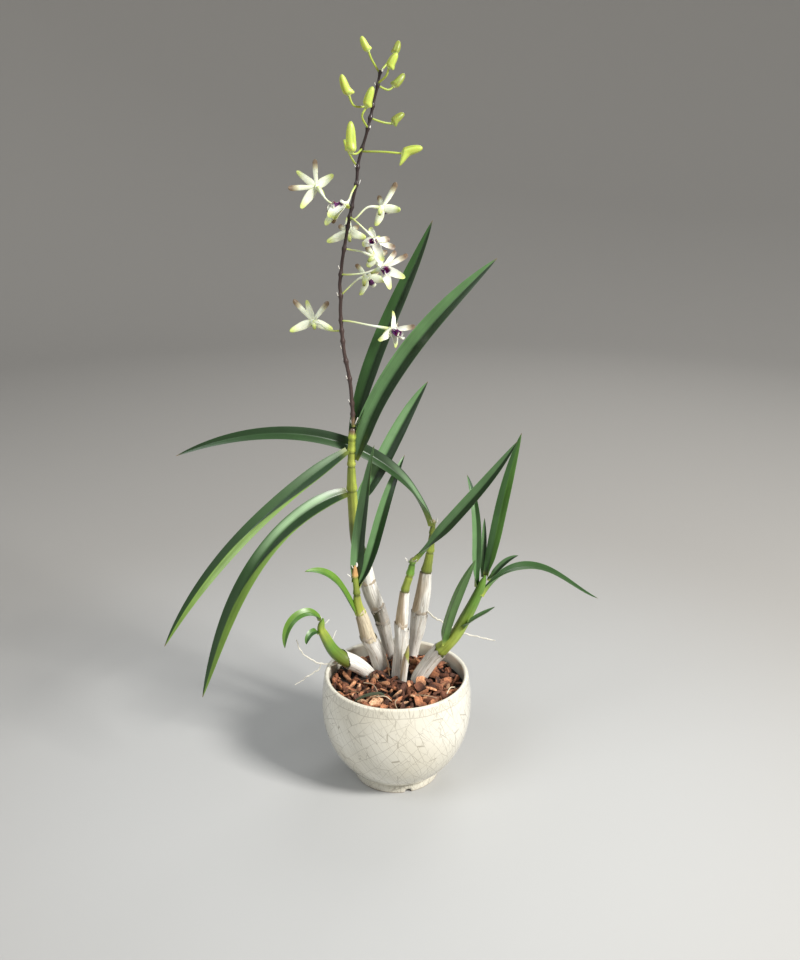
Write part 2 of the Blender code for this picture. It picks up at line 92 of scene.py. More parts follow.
# Canes: (x, y, z, diameter) from the foot in the bark to the top
CANES = {
    "cane_flowering": [
        (-4, 47, 76, 9.0), (-8, 44, 98, 10.0), (-13, 40, 123, 12.0), (-22, 36, 151, 13.2),
        (-28, 33, 179, 12.3), (-33, 31, 199, 10.5), (-35, 29, 222, 9.0), (-36, 28, 244, 8.3),
        (-36, 27, 270, 6.6), (-35, 26, 290, 6.0), (-34, 26, 298, 5.0),
    ],
    "cane_front_left": [
        (-11, 28, 76, 13.0), (-14, 26, 86, 14.0), (-18, 24, 101, 13.5), (-24, 22, 114, 12.4),
        (-28, 20, 131, 10.5), (-32, 18, 146, 8.0), (-33, 17, 159, 5.7), (-34, 16, 172, 4.8),
        (-34, 16, 183, 3.5),
    ],
    "cane_front_middle": [
        (1, 13, 76, 11.0), (2, 13, 86, 12.0), (4, 14, 108, 12.0), (4, 14, 126, 10.3),
        (5, 15, 140, 9.6), (7, 15, 161, 7.0), (11, 16, 175, 6.5), (14, 17, 190, 4.6),
    ],
    "cane_back_right": [
        (13, 47, 76, 8.5), (16, 47, 96, 9.5), (18, 47, 109, 13.0), (20, 48, 125, 13.8),
        (23, 48, 144, 12.4), (25, 49, 161, 9.6), (28, 50, 178, 7.1), (30, 50, 196, 5.5),
        (31, 50, 210, 4.0),
    ],
    "cane_right": [
        (16, 8, 76, 11.0), (20, 6, 87, 12.5), (27, 5, 99, 12.5), (34, 3, 110, 12.0),
        (42, 0, 120, 11.0), (50, -2, 132, 10.5), (60, -4, 154, 9.5), (66, -5, 169, 8.0),
        (71, -6, 184, 6.0),
    ],
    "shoot_left": [
        (-20, 17, 76, 10.0), (-26, 15, 86, 11.5), (-36, 11, 96, 13.0), (-46, 8, 103, 12.0),
        (-53, 5, 112, 10.5), (-59, 3, 125, 8.8), (-62, 2, 133, 6.8), (-60, 2, 142, 4.4),
    ],
    "shoot_young": [
        (5, 3, 76, 5.0), (6, 3, 88, 5.6), (8, 3, 104, 5.0), (10, 2, 118, 1.6),
    ],
}
CANE_COLUMNS = 28
CANE_ROW = 1.5  # distance between the rings of a cane

# Leaves: (cane, height on it, side of it that the leaf leaves from, length, width,
#          azimuth at base and tip, rise at base, two fifths and tip, turn about its length)
LEAVES = {
    "leaf_crown_right": ("cane_flowering", 271, -15, 197, 18, (-10, -10), (76, 58, 44), 65),
    "leaf_crown_back": ("cane_flowering", 288, 50, 180, 15, (16, 16), (84, 68, 69), 50),
    "leaf_main_right": ("cane_flowering", 227, 60, 119, 15, (40, 17), (48, 57, 54), 45),
    "leaf_arch": ("cane_back_right", 204, 180, 246, 13, (195, 184), (75, 27, -23), -60),
    "leaf_droop_upper": ("cane_flowering", 279, 215, 210, 13, (211, 210), (-24, -35, -58), -45),
    "leaf_droop_lower": ("cane_flowering", 243, 215, 212, 15, (211, 207), (-3, -47, -70), -45),
    "leaf_spear_left": ("cane_front_left", 168, 110, 123, 13, (0, -60), (82, 81, 74), 80),
    "leaf_spear_right": ("cane_front_left", 161, 45, 117, 11, (40, 47), (61, 69, 48), 40),
    "leaf_front_small": ("cane_front_left", 141, 230, 69, 10.5, (209, 211), (61, 60, -2), -35),
    "leaf_left_curl": ("shoot_left", 140, 180, 53, 8, (205, 217), (80, -17, -92), -40),
    "leaf_left_short": ("shoot_left", 129, 225, 20, 6, (225, 235), (70, 0, -92), -40),
    "leaf_middle_long": ("cane_front_middle", 187, -30, 138, 12, (-21, -21), (55, 52, 61), 65),
    "leaf_right_tall": ("cane_right", 183, 45, 118, 11, (34, 34), (79, 77, 70), 35),
    "leaf_right_inner": ("cane_right", 173, 150, 95, 8, (117, 109), (88, 89, 34), -20),
    "leaf_right_narrow": ("cane_right", 181, 110, 50, 5, (75, 75), (60, 85, 90), 10),
    "leaf_right_base": ("cane_right", 120, 225, 87, 10.5, (-25, -25), (84, 73, 63), -110),
    "leaf_right_low": ("cane_right", 137, 280, 41, 7, (-34, -34), (60, 42, 48), 20),
    "leaf_right_stub": ("cane_right", 180, -10, 36, 6, (-25, -25), (56, 54, 25), 60),
    "leaf_right_arch": ("cane_right", 166, -30, 147, 9, (41, 25), (51, -18, -28), 30),
}
LEAF_ROWS = 66
LEAF_COLUMNS = 16
LEAF_GAP = 0.95  # distance from the cane's skin to the middle of the leaf's base
LEAF_KEEL = 1.3  # thickness at the middle of the blade and at its edges
LEAF_EDGE = 0.4
LEAF_FOLD = 25.0
LEAF_WAVE = 0.05  # ripple of the edges, as a share of half the width
LEAF_CLASP = 55.0  # fold at the base, where the blade holds the cane
LEAF_BASE_SHARE = 0.78
LEAF_TWIST_END = 0.35
LEAF_WIDEN_END = 0.35
LEAF_TAPER_START = 0.4
LEAF_FOLD_START = 0.15
LEAF_RISE_SHARE = 0.4

# Flower stem: points up its middle
STEM = [
    (-34, 26, 298.7), (-35, 25, 325), (-37, 24, 341), (-40, 23, 359), (-42, 22, 378),
    (-42, 21, 403), (-42, 21, 415), (-39, 21, 437), (-34, 22, 462), (-29, 23, 484),
    (-27, 24, 500), (-20, 25, 524), (-16, 26, 540), (-11, 27, 562),
]
STEM_RADIUS = (1.7, 1.1)
STALK_RADIUS = 0.8

# Buds: (height where the stalk leaves the stem, point along the stalk,
#        bud's base, bud's tip, bud's width)
BUDS = {
    "bud_1": (560, (-17, 22, 569), (-19, 20, 574), (-24, 18, 584), 4.6),
    "bud_2": (561, (-5, 32, 568), (-1, 34, 573), (2, 36, 582), 4.6),
    "bud_3": (553, (-7, 20, 558), (-5, 18, 563), (1, 16, 573), 5.4),
    "bud_4": (552, (-6, 31, 549), (-2, 33, 551), (6, 36, 560), 5.0),
    "bud_5": (538, (-29, 18, 538), (-33, 15, 545), (-38, 12, 559), 5.6),
    "bud_6": (523, (-24, 15, 531), (-21, 14, 537), (-16, 12, 551), 5.6),
    "bud_7": (530, (-10, 31, 527), (-3, 34, 526), (6, 36, 533), 5.2),
    "bud_8": (509, (-28, 16, 506), (-32, 14, 506), (-32, 13, 528), 6.8),
    "bud_9": (507, (-9, 18, 507), (4, 17, 506), (19, 14, 510), 6.0),
    "bud_10": (496, (-32, 32, 501), (-35, 33, 507), (-38, 33, 515), 3.4),
}

# Roots in the air: points along the middle
ROOTS = {
    "root_right": [
        (26.2, 43.2, 128), (34, 41, 122), (42, 40, 118), (56, 39, 110), (70, 38, 106),
        (85, 36, 103),
    ],
    "root_left": [
        (-45.6, 14.9, 96.5), (-49, 11, 95.7), (-53, 8, 96), (-60.5, 6, 97.6), (-69.5, 6, 100.4),
        (-77.4, 6, 107.3), (-80.4, 6, 112.3), (-83.3, 6, 120.2),
    ],
}
ROOT_RADIUS = 0.75
ROOT_WOBBLE = 0.8


def seen(red, green, blue):
    """A colour as a screen shows it, from 0 to 255, in the linear values that shaders take."""
    return tuple(((c / 255 + 0.055) / 1.055) ** 2.4 for c in (red, green, blue))


# Colours of the plant
# The darker leaf greens below paint the shaded halves of the blades: painted shade
LEAF_DEEP = seen(32, 58, 28)
LEAF_SHADE = seen(38, 68, 30)
LEAF_DARK = seen(46, 80, 36)
LEAF_MIDDLE = seen(80, 122, 48)
# Painted light: the green of a leaf's lit half
LEAF_PAINTED_LIT = seen(96, 134, 84)
# Painted light on the lower edges of the drooping leaves, partly their paler underside
LEAF_LIT_STRIP = seen(122, 156, 66)
LEAF_FRESH = seen(102, 142, 52)
LEAF_UNDER = seen(92, 128, 70)
LEAF_SHEEN = seen(150, 184, 140)
LIME = seen(160, 176, 70)
OLIVE = seen(112, 124, 50)
YELLOW_GREEN = seen(168, 176, 78)
PAPER = seen(242, 240, 232)
PAPER_GREY = seen(200, 196, 188)
HUSK = seen(176, 158, 132)
HUSK_PALE = seen(222, 210, 182)
HUSK_BROWN = seen(132, 108, 80)
DRY_TIP = seen(206, 160, 104)
STEM_DARK = seen(42, 28, 28)
STEM_BROWN = seen(70, 54, 50)
BUD_LIME = seen(186, 202, 88)
# Painted shade: the darker green of buds that hang in shade
BUD_IN_SHADE = seen(140, 154, 66)
BUD_PALE = seen(208, 218, 140)
CREAM = seen(238, 240, 222)
TIP_GREEN = seen(200, 210, 122)
TIP_PINK = seen(184, 172, 146)
TIP_BROWN = seen(112, 92, 76)
PURPLE = seen(84, 22, 92)
ROOT_WHITE = seen(226, 222, 208)
BAND_GREEN = seen(92, 92, 66)
DEAD_GREEN = seen(58, 66, 46)


def smooth_path(points, steps):
    """Points on a Catmull-Rom curve through the given ones, in any number of dimensions."""
    rows = np.array(points, float)
    rows = np.vstack([2 * rows[0] - rows[1], rows, 2 * rows[-1] - rows[-2]])
    path = []
    for a, b, c, d in zip(rows, rows[1:], rows[2:], rows[3:]):
        for step in range(steps):
            t = step / steps
            path.append(0.5 * (2 * b + (c - a) * t + (2 * a - 5 * b + 4 * c - d) * t * t
                               + (3 * b - a - 3 * c + d) * t ** 3))
    path.append(rows[-2])
    return np.array(path)


def at_height(path, height):
    """The row of a rising path at one height."""
    return np.array([np.interp(height, path[:, 2], column) for column in path.T])


def run_along(points):
    """Distance along a path at each of its points."""
    steps = np.linalg.norm(np.diff(points, axis=0), axis=1)
    return np.concatenate([[0.0], np.cumsum(steps)])


def evenly(path, spacing):
    """The same path with its points a near-even distance apart."""
    run = run_along(path[:, :3])
    places = np.linspace(0.0, run[-1], max(int(run[-1] / spacing), 2) + 1)
    return np.stack([np.interp(places, run, column) for column in path.T], axis=1)


def direction(azimuth, rise):
    a = math.radians(azimuth)
    e = math.radians(rise)
    return np.array((math.cos(e) * math.cos(a), math.cos(e) * math.sin(a), math.sin(e)))


def unit(vector):
    return vector / np.linalg.norm(vector)


def from_view(right, up, away):
    """A direction given as the viewer sees it, in the frame."""
    pitch = math.radians(CAMERA_PITCH)
    return np.array((
        right,
        up * math.sin(pitch) + away * math.cos(pitch),
        up * math.cos(pitch) - away * math.sin(pitch),
    ))


def ripple(x, y=0.0, z=0.0):
    """Smooth noise between about -1 and 1."""
    return noise.noise(Vector((x, y, z)))


def blend(stops, places):
    """Colours at places along a run of (place, colour) stops."""
    marks = [place for place, _ in stops]
    return np.stack([np.interp(places, marks, [c[i] for _, c in stops]) for i in range(3)], -1)


def ease(low, high, value):
    """From 0 at low to 1 at high, level at both ends."""
    share = np.clip((value - low) / (high - low), 0.0, 1.0)
    return share * share * (3 - 2 * share)


class Shape:
    """The points and faces of one object, with a colour and a place in the grain at each point."""

    def __init__(self):
        self.points = []
        self.tints = []
        self.grains = []
        self.faces = []
        self.slots = []
        self.count = 0

    def _add(self, points, tints, grains):
        start = self.count
        self.points.append(points)
        self.tints.append(np.broadcast_to(tints, points.shape))
        self.grains.append(np.broadcast_to(grains, points.shape))
        self.count += len(points)
        return start

    def skin(self, rings, tint, grain, slot=0, ends="fan"):
        """Skin closed rings. Their ends are filled, or joined to each other as a loop."""
        rows, columns = rings.shape[:2]
        tints = np.broadcast_to(tint, rings.shape)
        grains = np.broadcast_to(grain, rings.shape)
        start = self._add(*(a.reshape(-1, 3) for a in (rings, tints, grains)))
        faces = []
        for i in range(rows if ends == "loop" else rows - 1):
            low = start + i * columns
            high = start + (i + 1) % rows * columns
            for k in range(columns):
                nxt = (k + 1) % columns
                faces.append((low + k, low + nxt, high + nxt, high + k))
        if ends == "fan":
            middles = self._add(
                rings[[0, -1]].mean(axis=1), tints[[0, -1], 0], grains[[0, -1], 0]
            )
            last = start + (rows - 1) * columns
            for k in range(columns):
                nxt = (k + 1) % columns
                faces.append((middles, start + nxt, start + k))
                faces.append((middles + 1, last + k, last + nxt))
        self.faces += faces
        self.slots += [slot] * len(faces)

    def build(self, name, materials, sharp=50.0):
        mesh = bpy.data.meshes.new(name)
        points = np.concatenate(self.points) * MM
        mesh.from_pydata(points.tolist(), [], self.faces)
        for material in materials:
            mesh.materials.append(material)
        mesh.polygons.foreach_set("material_index", self.slots)
        tints = np.concatenate(self.tints)
        tint = mesh.attributes.new("tint", "FLOAT_COLOR", "POINT")
        tint.data.foreach_set("color", np.c_[tints, np.ones(len(tints))].ravel())
        grain = mesh.attributes.new("grain", "FLOAT_VECTOR", "POINT")
        grain.data.foreach_set("vector", np.concatenate(self.grains).ravel())
        mesh.shade_smooth()
        mesh.set_sharp_from_angle(angle=math.radians(sharp))
        made = bpy.data.objects.new(name, mesh)
        bpy.context.scene.collection.objects.link(made)
        return made


def place_piece(shape, node, materials, sharp=50.0):
    """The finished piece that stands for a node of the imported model."""
    piece = shape.build(f"{node}_fine", materials, sharp)
    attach(piece, BODY)
    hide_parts(node)
    return piece


def carried(points, first):
    """Directions ahead, across and over at each point of a path, turned as little as can be."""
    ahead = np.gradient(points, axis=0)
    ahead /= np.linalg.norm(ahead, axis=1)[:, None]
    across = np.empty_like(points)
    side = np.array(first, float)
    for i, way in enumerate(ahead):
        side = unit(side - way * side.dot(way))
        across[i] = side
    return ahead, across, np.cross(ahead, across)


def tube_rings(points, radii, columns, first=(1.0, 0.0, 0.0)):
    """Rings round a path. The radii are one a row, or one for each place."""
    _, across, over = carried(points, first)
    angles = np.arange(columns) * math.tau / columns
    radii = np.asarray(radii, float)
    if radii.ndim == 1:
        radii = radii[:, None]
    out = (across[:, None] * np.cos(angles)[None, :, None]
           + over[:, None] * np.sin(angles)[None, :, None])
    return points[:, None] + out * radii[..., None]


def round_grain(points, columns, around=4.0):
    """Places in the grain of a tube: a circle of that radius, and the distance along."""
    angles = np.arange(columns) * math.tau / columns
    grain = np.empty((len(points), columns, 3))
    grain[..., 0] = np.cos(angles) * around
    grain[..., 1] = np.sin(angles) * around
    grain[..., 2] = run_along(points)[:, None]
    return grain


def plain_tube(shape, path, radii, tint, columns=10, slot=0, first=(1.0, 0.0, 0.0)):
    """A tube of one colour, or of one colour a row."""
    tint = np.asarray(tint, float)
    if tint.ndim == 2:
        tint = tint[:, None]
    rings = tube_rings(path, radii, columns, first)
    shape.skin(rings, tint, round_grain(path, columns), slot)


def add_blade(shape, points, sideways, upward, half, lift, thick, tint, under=None, slot=0):
    """A thin blade: each row goes under it from left to right and back over its top.

    lift and thick hold a value for each row and place across, and half one a row.
    """
    columns = lift.shape[1]
    across = np.linspace(-1.0, 1.0, columns)
    middle = (points[:, None] + sideways[:, None] * (half[:, None] * across)[..., None]
              + upward[:, None] * lift[..., None])
    depth = upward[:, None] * (thick / 2)[..., None]
    rings = np.concatenate([middle - depth, (middle + depth)[:, ::-1]], axis=1)
    face = np.zeros(middle.shape)
    face[..., 0] = half[:, None] * across
    face[..., 2] = run_along(points)[:, None]
    grain = np.concatenate([face, face[:, ::-1]], axis=1)
    over = np.broadcast_to(tint, middle.shape)
    below = over if under is None else np.broadcast_to(under, middle.shape)
    tints = np.concatenate([below, over[:, ::-1]], axis=1)
    shape.skin(rings, tints, grain, slot)


def add_object(name, mesh):
    made = bpy.data.objects.new(name, mesh)
    bpy.context.scene.collection.objects.link(made)
    return made


# Materials


def new_material(name, roughness, **values):
    """A material with its shader, whose even values are set on the shader's own sockets."""
    material = bpy.data.materials.new(name)
    material.use_nodes = True
    shader = material.node_tree.nodes["Principled BSDF"]
    shader.inputs["Roughness"].default_value = roughness
    for socket, value in values.items():
        shader.inputs[socket.replace("_", " ")].default_value = value
    return material, material.node_tree, shader


def add_node(tree, kind, links=None, **values):
    """A node, with its properties set and its inputs linked or filled in by name."""
    node = tree.nodes.new(kind)
    for key, value in values.items():
        setattr(node, key, value)
    for key, value in (links or {}).items():
        if isinstance(value, bpy.types.NodeSocket):
            tree.links.new(value, node.inputs[key])
        else:
            node.inputs[key].default_value = value
    return node


def add_range(tree, value, low, high, to_low, to_high):
    """The value, moved from one range to another and kept inside it."""
    node = add_node(tree, "ShaderNodeMapRange", {
        "Value": value, "From Min": low, "From Max": high, "To Min": to_low, "To Max": to_high,
    })
    return node.outputs["Result"]


def add_math(tree, operation, a, b):
    return add_node(tree, "ShaderNodeMath", {0: a, 1: b}, operation=operation).outputs[0]


def add_mix(tree, share, a, b, blend_type="MIX"):
    node = add_node(tree, "ShaderNodeMix", data_type="RGBA", blend_type=blend_type)
    for key, value in ((0, share), (6, a), (7, b)):
        if isinstance(value, bpy.types.NodeSocket):
            tree.links.new(value, node.inputs[key])
        else:
            node.inputs[key].default_value = value
    return node.outputs[2]


def add_bump(tree, shader, height, strength, distance):
    """Relief on the surface, the distance in millimetres."""
    node = add_node(tree, "ShaderNodeBump", {
        "Height": height, "Strength": strength, "Distance": distance * MM,
    })
    tree.links.new(node.outputs["Normal"], shader.inputs["Normal"])


def painted(name, roughness, across, along, contrast, bump, patches=0.0, fibres=0.0, **values):
    """A material coloured by the mesh, with streaks along its grain.

    across and along are the streaks a millimetre holds each way. contrast is how far they
    darken and lighten the colour, bump their height in millimetres, patches how far wide
    soft patches darken it, and fibres how strongly thin dark lines show.
    """
    material, tree, shader = new_material(name, roughness, **values)
    tint = add_node(tree, "ShaderNodeAttribute", attribute_name="tint").outputs["Color"]
    grain = add_node(tree, "ShaderNodeAttribute", attribute_name="grain").outputs["Vector"]
    scaled = add_node(tree, "ShaderNodeVectorMath", {0: grain, 1: (across, across, along)},
                      operation="MULTIPLY").outputs["Vector"]
    streaks = add_node(tree, "ShaderNodeTexNoise", {
        "Vector": scaled, "Scale": 1.0, "Detail": 5.0, "Roughness": 0.62,
    }).outputs["Fac"]
    shade = add_range(tree, streaks, 0.3, 0.7, 1 - contrast, 1 + contrast)
    if patches:
        place = add_node(tree, "ShaderNodeTexCoord").outputs["Object"]
        wide = add_node(tree, "ShaderNodeTexNoise", {
            "Vector": place, "Scale": 90.0, "Detail": 3.0,
        }).outputs["Fac"]
        shade = add_math(tree, "MULTIPLY", shade, add_range(tree, wide, 0.35, 0.65, 1 - patches, 1.0))
    colour = add_node(tree, "ShaderNodeVectorMath", {0: tint, "Scale": shade},
                      operation="SCALE").outputs["Vector"]
    if fibres:
        lines = add_node(tree, "ShaderNodeTexNoise", {
            "Vector": scaled, "Scale": 1.9, "Detail": 3.0,
        }).outputs["Fac"]
        share = add_range(tree, lines, 0.56, 0.66, 0.0, fibres)
        colour = add_mix(tree, share, colour, (*HUSK_BROWN, 1))
    tree.links.new(colour, shader.inputs["Base Color"])
    rough = add_range(tree, streaks, 0.3, 0.7, roughness + 0.06, roughness - 0.06)
    tree.links.new(rough, shader.inputs["Roughness"])
    add_bump(tree, shader, streaks, 1.0, bump)
    return material


GLAZE_CREAM = seen(232, 229, 216)
GLAZE_SHADE = seen(222, 217, 200)
GLAZE_CRACK = seen(150, 141, 122)
BARE_CLAY = seen(196, 176, 148)
CRACK_WAVE = 1.3  # how far the cracks stray from straight
# Nets of cracks on the unrolled wall: (cell size, lean to the right for each step down,
#                  how much longer cells are along the lean, half width of a crack,
#                  strength, strength where the net fades)
CRACK_NETS = (
    (7.5, 0.6, 5.0, 0.22, 0.75, 0.4),
    (14.0, -1.0, 2.6, 0.3, 0.7, 0.4),
    (5.0, 0.5, 2.2, 0.16, 0.6, 0.0),
)
RIM_CRACK = 86.0  # height of the crack that runs round below the rim
RIM_CELL = 3.4  # spacing of the short upright cracks above it
SEAM_WIDTH = 0.3  # the crack down the back, where the unrolled wall's ends meet


def unrolled(tree, place):
    """Places on the wall rolled out flat: round it from the front, and up it, in metres."""
    parts = add_node(tree, "ShaderNodeSeparateXYZ", {"Vector": place}).outputs
    angle = add_math(tree, "ARCTAN2", parts["X"], add_math(tree, "MULTIPLY", parts["Y"], -1.0))
    return add_math(tree, "MULTIPLY", angle, BELLY_RADIUS * MM), parts["Z"], angle


def crack_net(tree, place, around, height, net):
    """Thin lines between the cells of a leaning pattern on the unrolled wall."""
    cell, lean, stretch, width, strength, faded = net
    leaning = add_math(tree, "ADD", around, add_math(tree, "MULTIPLY", height, lean))
    flat = add_node(tree, "ShaderNodeCombineXYZ", {
        "X": add_math(tree, "MULTIPLY", leaning, 1 / (cell * MM)),
        "Y": add_math(tree, "MULTIPLY", height, 1 / (cell * stretch * MM)),
    }).outputs["Vector"]
    edges = add_node(tree, "ShaderNodeTexVoronoi", {"Vector": flat, "Scale": 1.0},
                     feature="DISTANCE_TO_EDGE", voronoi_dimensions="2D").outputs["Distance"]
    line = add_range(tree, edges, 0.3 * width / cell, width / cell, strength, 0.0)
    fade = add_node(tree, "ShaderNodeTexNoise", {
        "Vector": place, "Scale": 400 / cell, "Detail": 2.0,
    }).outputs["Fac"]
    return add_math(tree, "MULTIPLY", line, add_range(tree, fade, 0.4, 0.6, faded, 1.0))


def rim_cracks(tree, around, height):
    """The crack that runs round below the rim, and the short upright ones above it."""
    off = add_math(tree, "SUBTRACT", height, RIM_CRACK * MM)
    ring = add_range(tree, add_math(tree, "ABSOLUTE", off, 0.0), 0.1 * MM, 0.35 * MM, 0.6, 0.0)
    flat = add_node(tree, "ShaderNodeCombineXYZ", {
        "X": add_math(tree, "MULTIPLY", around, 1 / (RIM_CELL * MM)),
        "Y": add_math(tree, "MULTIPLY", height, 0.12 / (RIM_CELL * MM)),
    }).outputs["Vector"]
    edges = add_node(tree, "ShaderNodeTexVoronoi", {"Vector": flat, "Scale": 1.0},
                     feature="DISTANCE_TO_EDGE", voronoi_dimensions="2D").outputs["Distance"]
    line = add_range(tree, edges, 0.02, 0.06, 0.45, 0.0)
    above = add_range(tree, off, -1 * MM, 0.5 * MM, 0.0, 1.0)
    return add_math(tree, "MAXIMUM", ring, add_math(tree, "MULTIPLY", line, above))


def glaze_material():
    """Cream glaze with nets of fine grey cracks, bare clay under the foot."""
    material, tree, shader = new_material("crackle_glaze", 0.2, Coat_Weight=0.5,
                                          Coat_Roughness=0.06)
    place = add_node(tree, "ShaderNodeTexCoord").outputs["Object"]
    height = add_node(tree, "ShaderNodeSeparateXYZ", {"Vector": place}).outputs["Z"]
    stray = add_node(tree, "ShaderNodeTexNoise", {
        "Vector": place, "Scale": 75.0, "Detail": 3.0,
    }).outputs["Color"]
    stray = add_node(tree, "ShaderNodeVectorMath",
                     {0: stray, 1: (0.5, 0.5, 0.5)}, operation="SUBTRACT").outputs["Vector"]
    stray = add_node(tree, "ShaderNodeVectorMath",
                     {0: stray, "Scale": CRACK_WAVE * 2 * MM}, operation="SCALE").outputs["Vector"]
    strayed = add_node(tree, "ShaderNodeVectorMath",
                       {0: place, 1: stray}, operation="ADD").outputs["Vector"]
    around, up, angle = unrolled(tree, strayed)
    cracks = rim_cracks(tree, around, up)
    for net in CRACK_NETS:
        cracks = add_math(tree, "MAXIMUM", cracks, crack_net(tree, place, around, up, net))
    turned = add_math(tree, "ABSOLUTE", angle, 0.0)
    seam = add_range(tree, turned, math.pi - SEAM_WIDTH / BELLY_RADIUS, math.pi, 0.0, 0.8)
    cracks = add_math(tree, "MAXIMUM", cracks, seam)
    flat = add_node(tree, "ShaderNodeVectorMath", {0: place, 1: (1.0, 1.0, 0.0)},
                    operation="MULTIPLY").outputs["Vector"]
    reach = add_node(tree, "ShaderNodeVectorMath", {0: flat}, operation="LENGTH").outputs["Value"]
    outside = add_math(tree, "MAXIMUM", add_range(tree, reach, 58.4 * MM, 58.8 * MM, 0.15, 1.0),
                       add_range(tree, height, 72 * MM, 70 * MM, 0.0, 1.0))
    cracks = add_math(tree, "MULTIPLY", cracks, outside)
    cloud = add_node(tree, "ShaderNodeTexNoise", {
        "Vector": place, "Scale": 22.0, "Detail": 4.0,
    }).outputs["Fac"]
    base = add_mix(tree, add_range(tree, cloud, 0.35, 0.65, 0.0, 1.0),
                   (*GLAZE_CREAM, 1), (*GLAZE_SHADE, 1))
    lined = add_mix(tree, cracks, base, (*GLAZE_CRACK, 1))
    bare = add_range(tree, height, 0.9 * MM, 0.5 * MM, 0.0, 1.0)
    tree.links.new(add_mix(tree, bare, lined, (*BARE_CLAY, 1)), shader.inputs["Base Color"])
    rough = add_math(tree, "ADD", add_range(tree, cloud, 0.3, 0.7, 0.16, 0.26),
                     add_math(tree, "MULTIPLY", bare, 0.6))
    tree.links.new(rough, shader.inputs["Roughness"])
    dents = add_math(tree, "SUBTRACT", add_math(tree, "MULTIPLY", cloud, 2.0), cracks)
    add_bump(tree, shader, dents, 0.35, 0.12)
    return material


# Pot


def body_radius(z):
    """The pot's outer radius above its foot."""
    if z <= BELLY_HEIGHT:
        drop = (BELLY_HEIGHT - z) / BOWL_DEPTH
        return BELLY_RADIUS * (1 - drop ** BOWL_ROUNDNESS) ** (1 / BOWL_ROUNDNESS)
    rise = (z - BELLY_HEIGHT) / (POT_HEIGHT - BELLY_HEIGHT)
    return BELLY_RADIUS - (BELLY_RADIUS - RIM_RADIUS) * rise ** 2


def pot_profile():
    """Radius and height of the pot's section, from the drain hole out, up and back in."""
    inner_foot = FOOT_RADIUS - FOOT_WALL
    lip = [
        (RIM_RADIUS - LIP_RADIUS + LIP_RADIUS * math.cos(math.radians(a)),
         POT_HEIGHT - LIP_RADIUS + LIP_RADIUS * math.sin(math.radians(a)))
        for a in range(0, 181, 15)
    ]
    levels = np.linspace(WALL_BOTTOM, WALL_TOP, WALL_ROWS)
    corner = [(1 - math.sin(math.radians(a)), 1 - math.cos(math.radians(a))) for a in (0, 30, 60, 90)]
    outer_corner = [(FOOT_RADIUS - FOOT_ROUND * r, FOOT_ROUND * z) for r, z in corner]
    inner_corner = [(inner_foot + FOOT_ROUND * r, FOOT_ROUND * z) for r, z in reversed(corner)]
    return (
        [(DRAIN_RADIUS, FOOT_RECESS), (inner_foot, FOOT_RECESS)]
        + inner_corner
        + outer_corner
        + [(FOOT_RADIUS, FOOT_HEIGHT - 1.2), (FOOT_RADIUS - 0.3, FOOT_HEIGHT - 0.3),
           (FOOT_RADIUS - FOOT_CREASE, FOOT_HEIGHT + 0.5), (FOOT_RADIUS - FOOT_CREASE, FOOT_HEIGHT + 1)]
        + [(body_radius(z), z) for z in levels]
        + lip
        + [(body_radius(z) - WALL, z) for z in reversed(levels)]
        + [(DRAIN_RADIUS, FLOOR_TOP)]
    )


def build_pot():
    angles = np.arange(POT_COLUMNS) * math.tau / POT_COLUMNS
    profile = np.array(pot_profile())
    rings = np.empty((len(profile), POT_COLUMNS, 3))
    rings[..., 0] = profile[:, :1] * np.cos(angles)
    rings[..., 1] = profile[:, :1] * np.sin(angles)
    rings[..., 2] = profile[:, 1:]
    pot = Shape()
    pot.skin(rings, GLAZE_CREAM, (0, 0, 0), ends="loop")
    piece = place_piece(pot, "pot", [glaze_material()], sharp=60)
    cutters = []
    for k in range(NOTCH_COUNT):
        way = direction(NOTCH_AZIMUTH + 360 / NOTCH_COUNT * k, 0)
        ends = (FOOT_RADIUS - FOOT_WALL - NOTCH_OVERRUN, FOOT_RADIUS + NOTCH_OVERRUN)
        arch = Shape()
        plain_tube(arch, np.array([way * r for r in ends]), [NOTCH_RADIUS] * 2, GLAZE_CREAM, 32,
                   first=(0, 0, 1))
        cutter = arch.build(f"notch_{k}", [])
        boolean = piece.modifiers.new(cutter.name, "BOOLEAN")
        boolean.operation = "DIFFERENCE"
        boolean.object = cutter
        cutters.append(cutter)
    bpy.context.view_layer.update()
    cut = piece.evaluated_get(bpy.context.evaluated_depsgraph_get())
    piece.data = bpy.data.meshes.new_from_object(cut)
    piece.modifiers.clear()
    for cutter in cutters:
        bpy.data.objects.remove(cutter)


# Bark

BARK_TONES = (
    (seen(120, 74, 52), 5), (seen(150, 96, 68), 5), (seen(184, 122, 86), 4),
    (seen(206, 148, 108), 3), (seen(88, 56, 42), 4), (seen(222, 176, 138), 1),
)
# Painted shade: the near-black seen in the gaps between the chips
BARK_GAP_SHADE = seen(24, 17, 14)
MOUND_DROP = 3.0
CHIP_SPACING = 6.0
CHIP_STRAY = 2.2
CHIP_LENGTH = (6.0, 14.0)
CHIP_LIFT = (-2.6, 1.6)
CHIP_ROWS = ((-0.5, 0.62), (-0.36, 0.95), (0.0, 1.0), (0.35, 0.9), (0.5, 0.5))  # (place, girth)
CHIP_FACETS = 7
CRUMB_COUNT = 240
CRUMB_LENGTH = (1.6, 4.0)
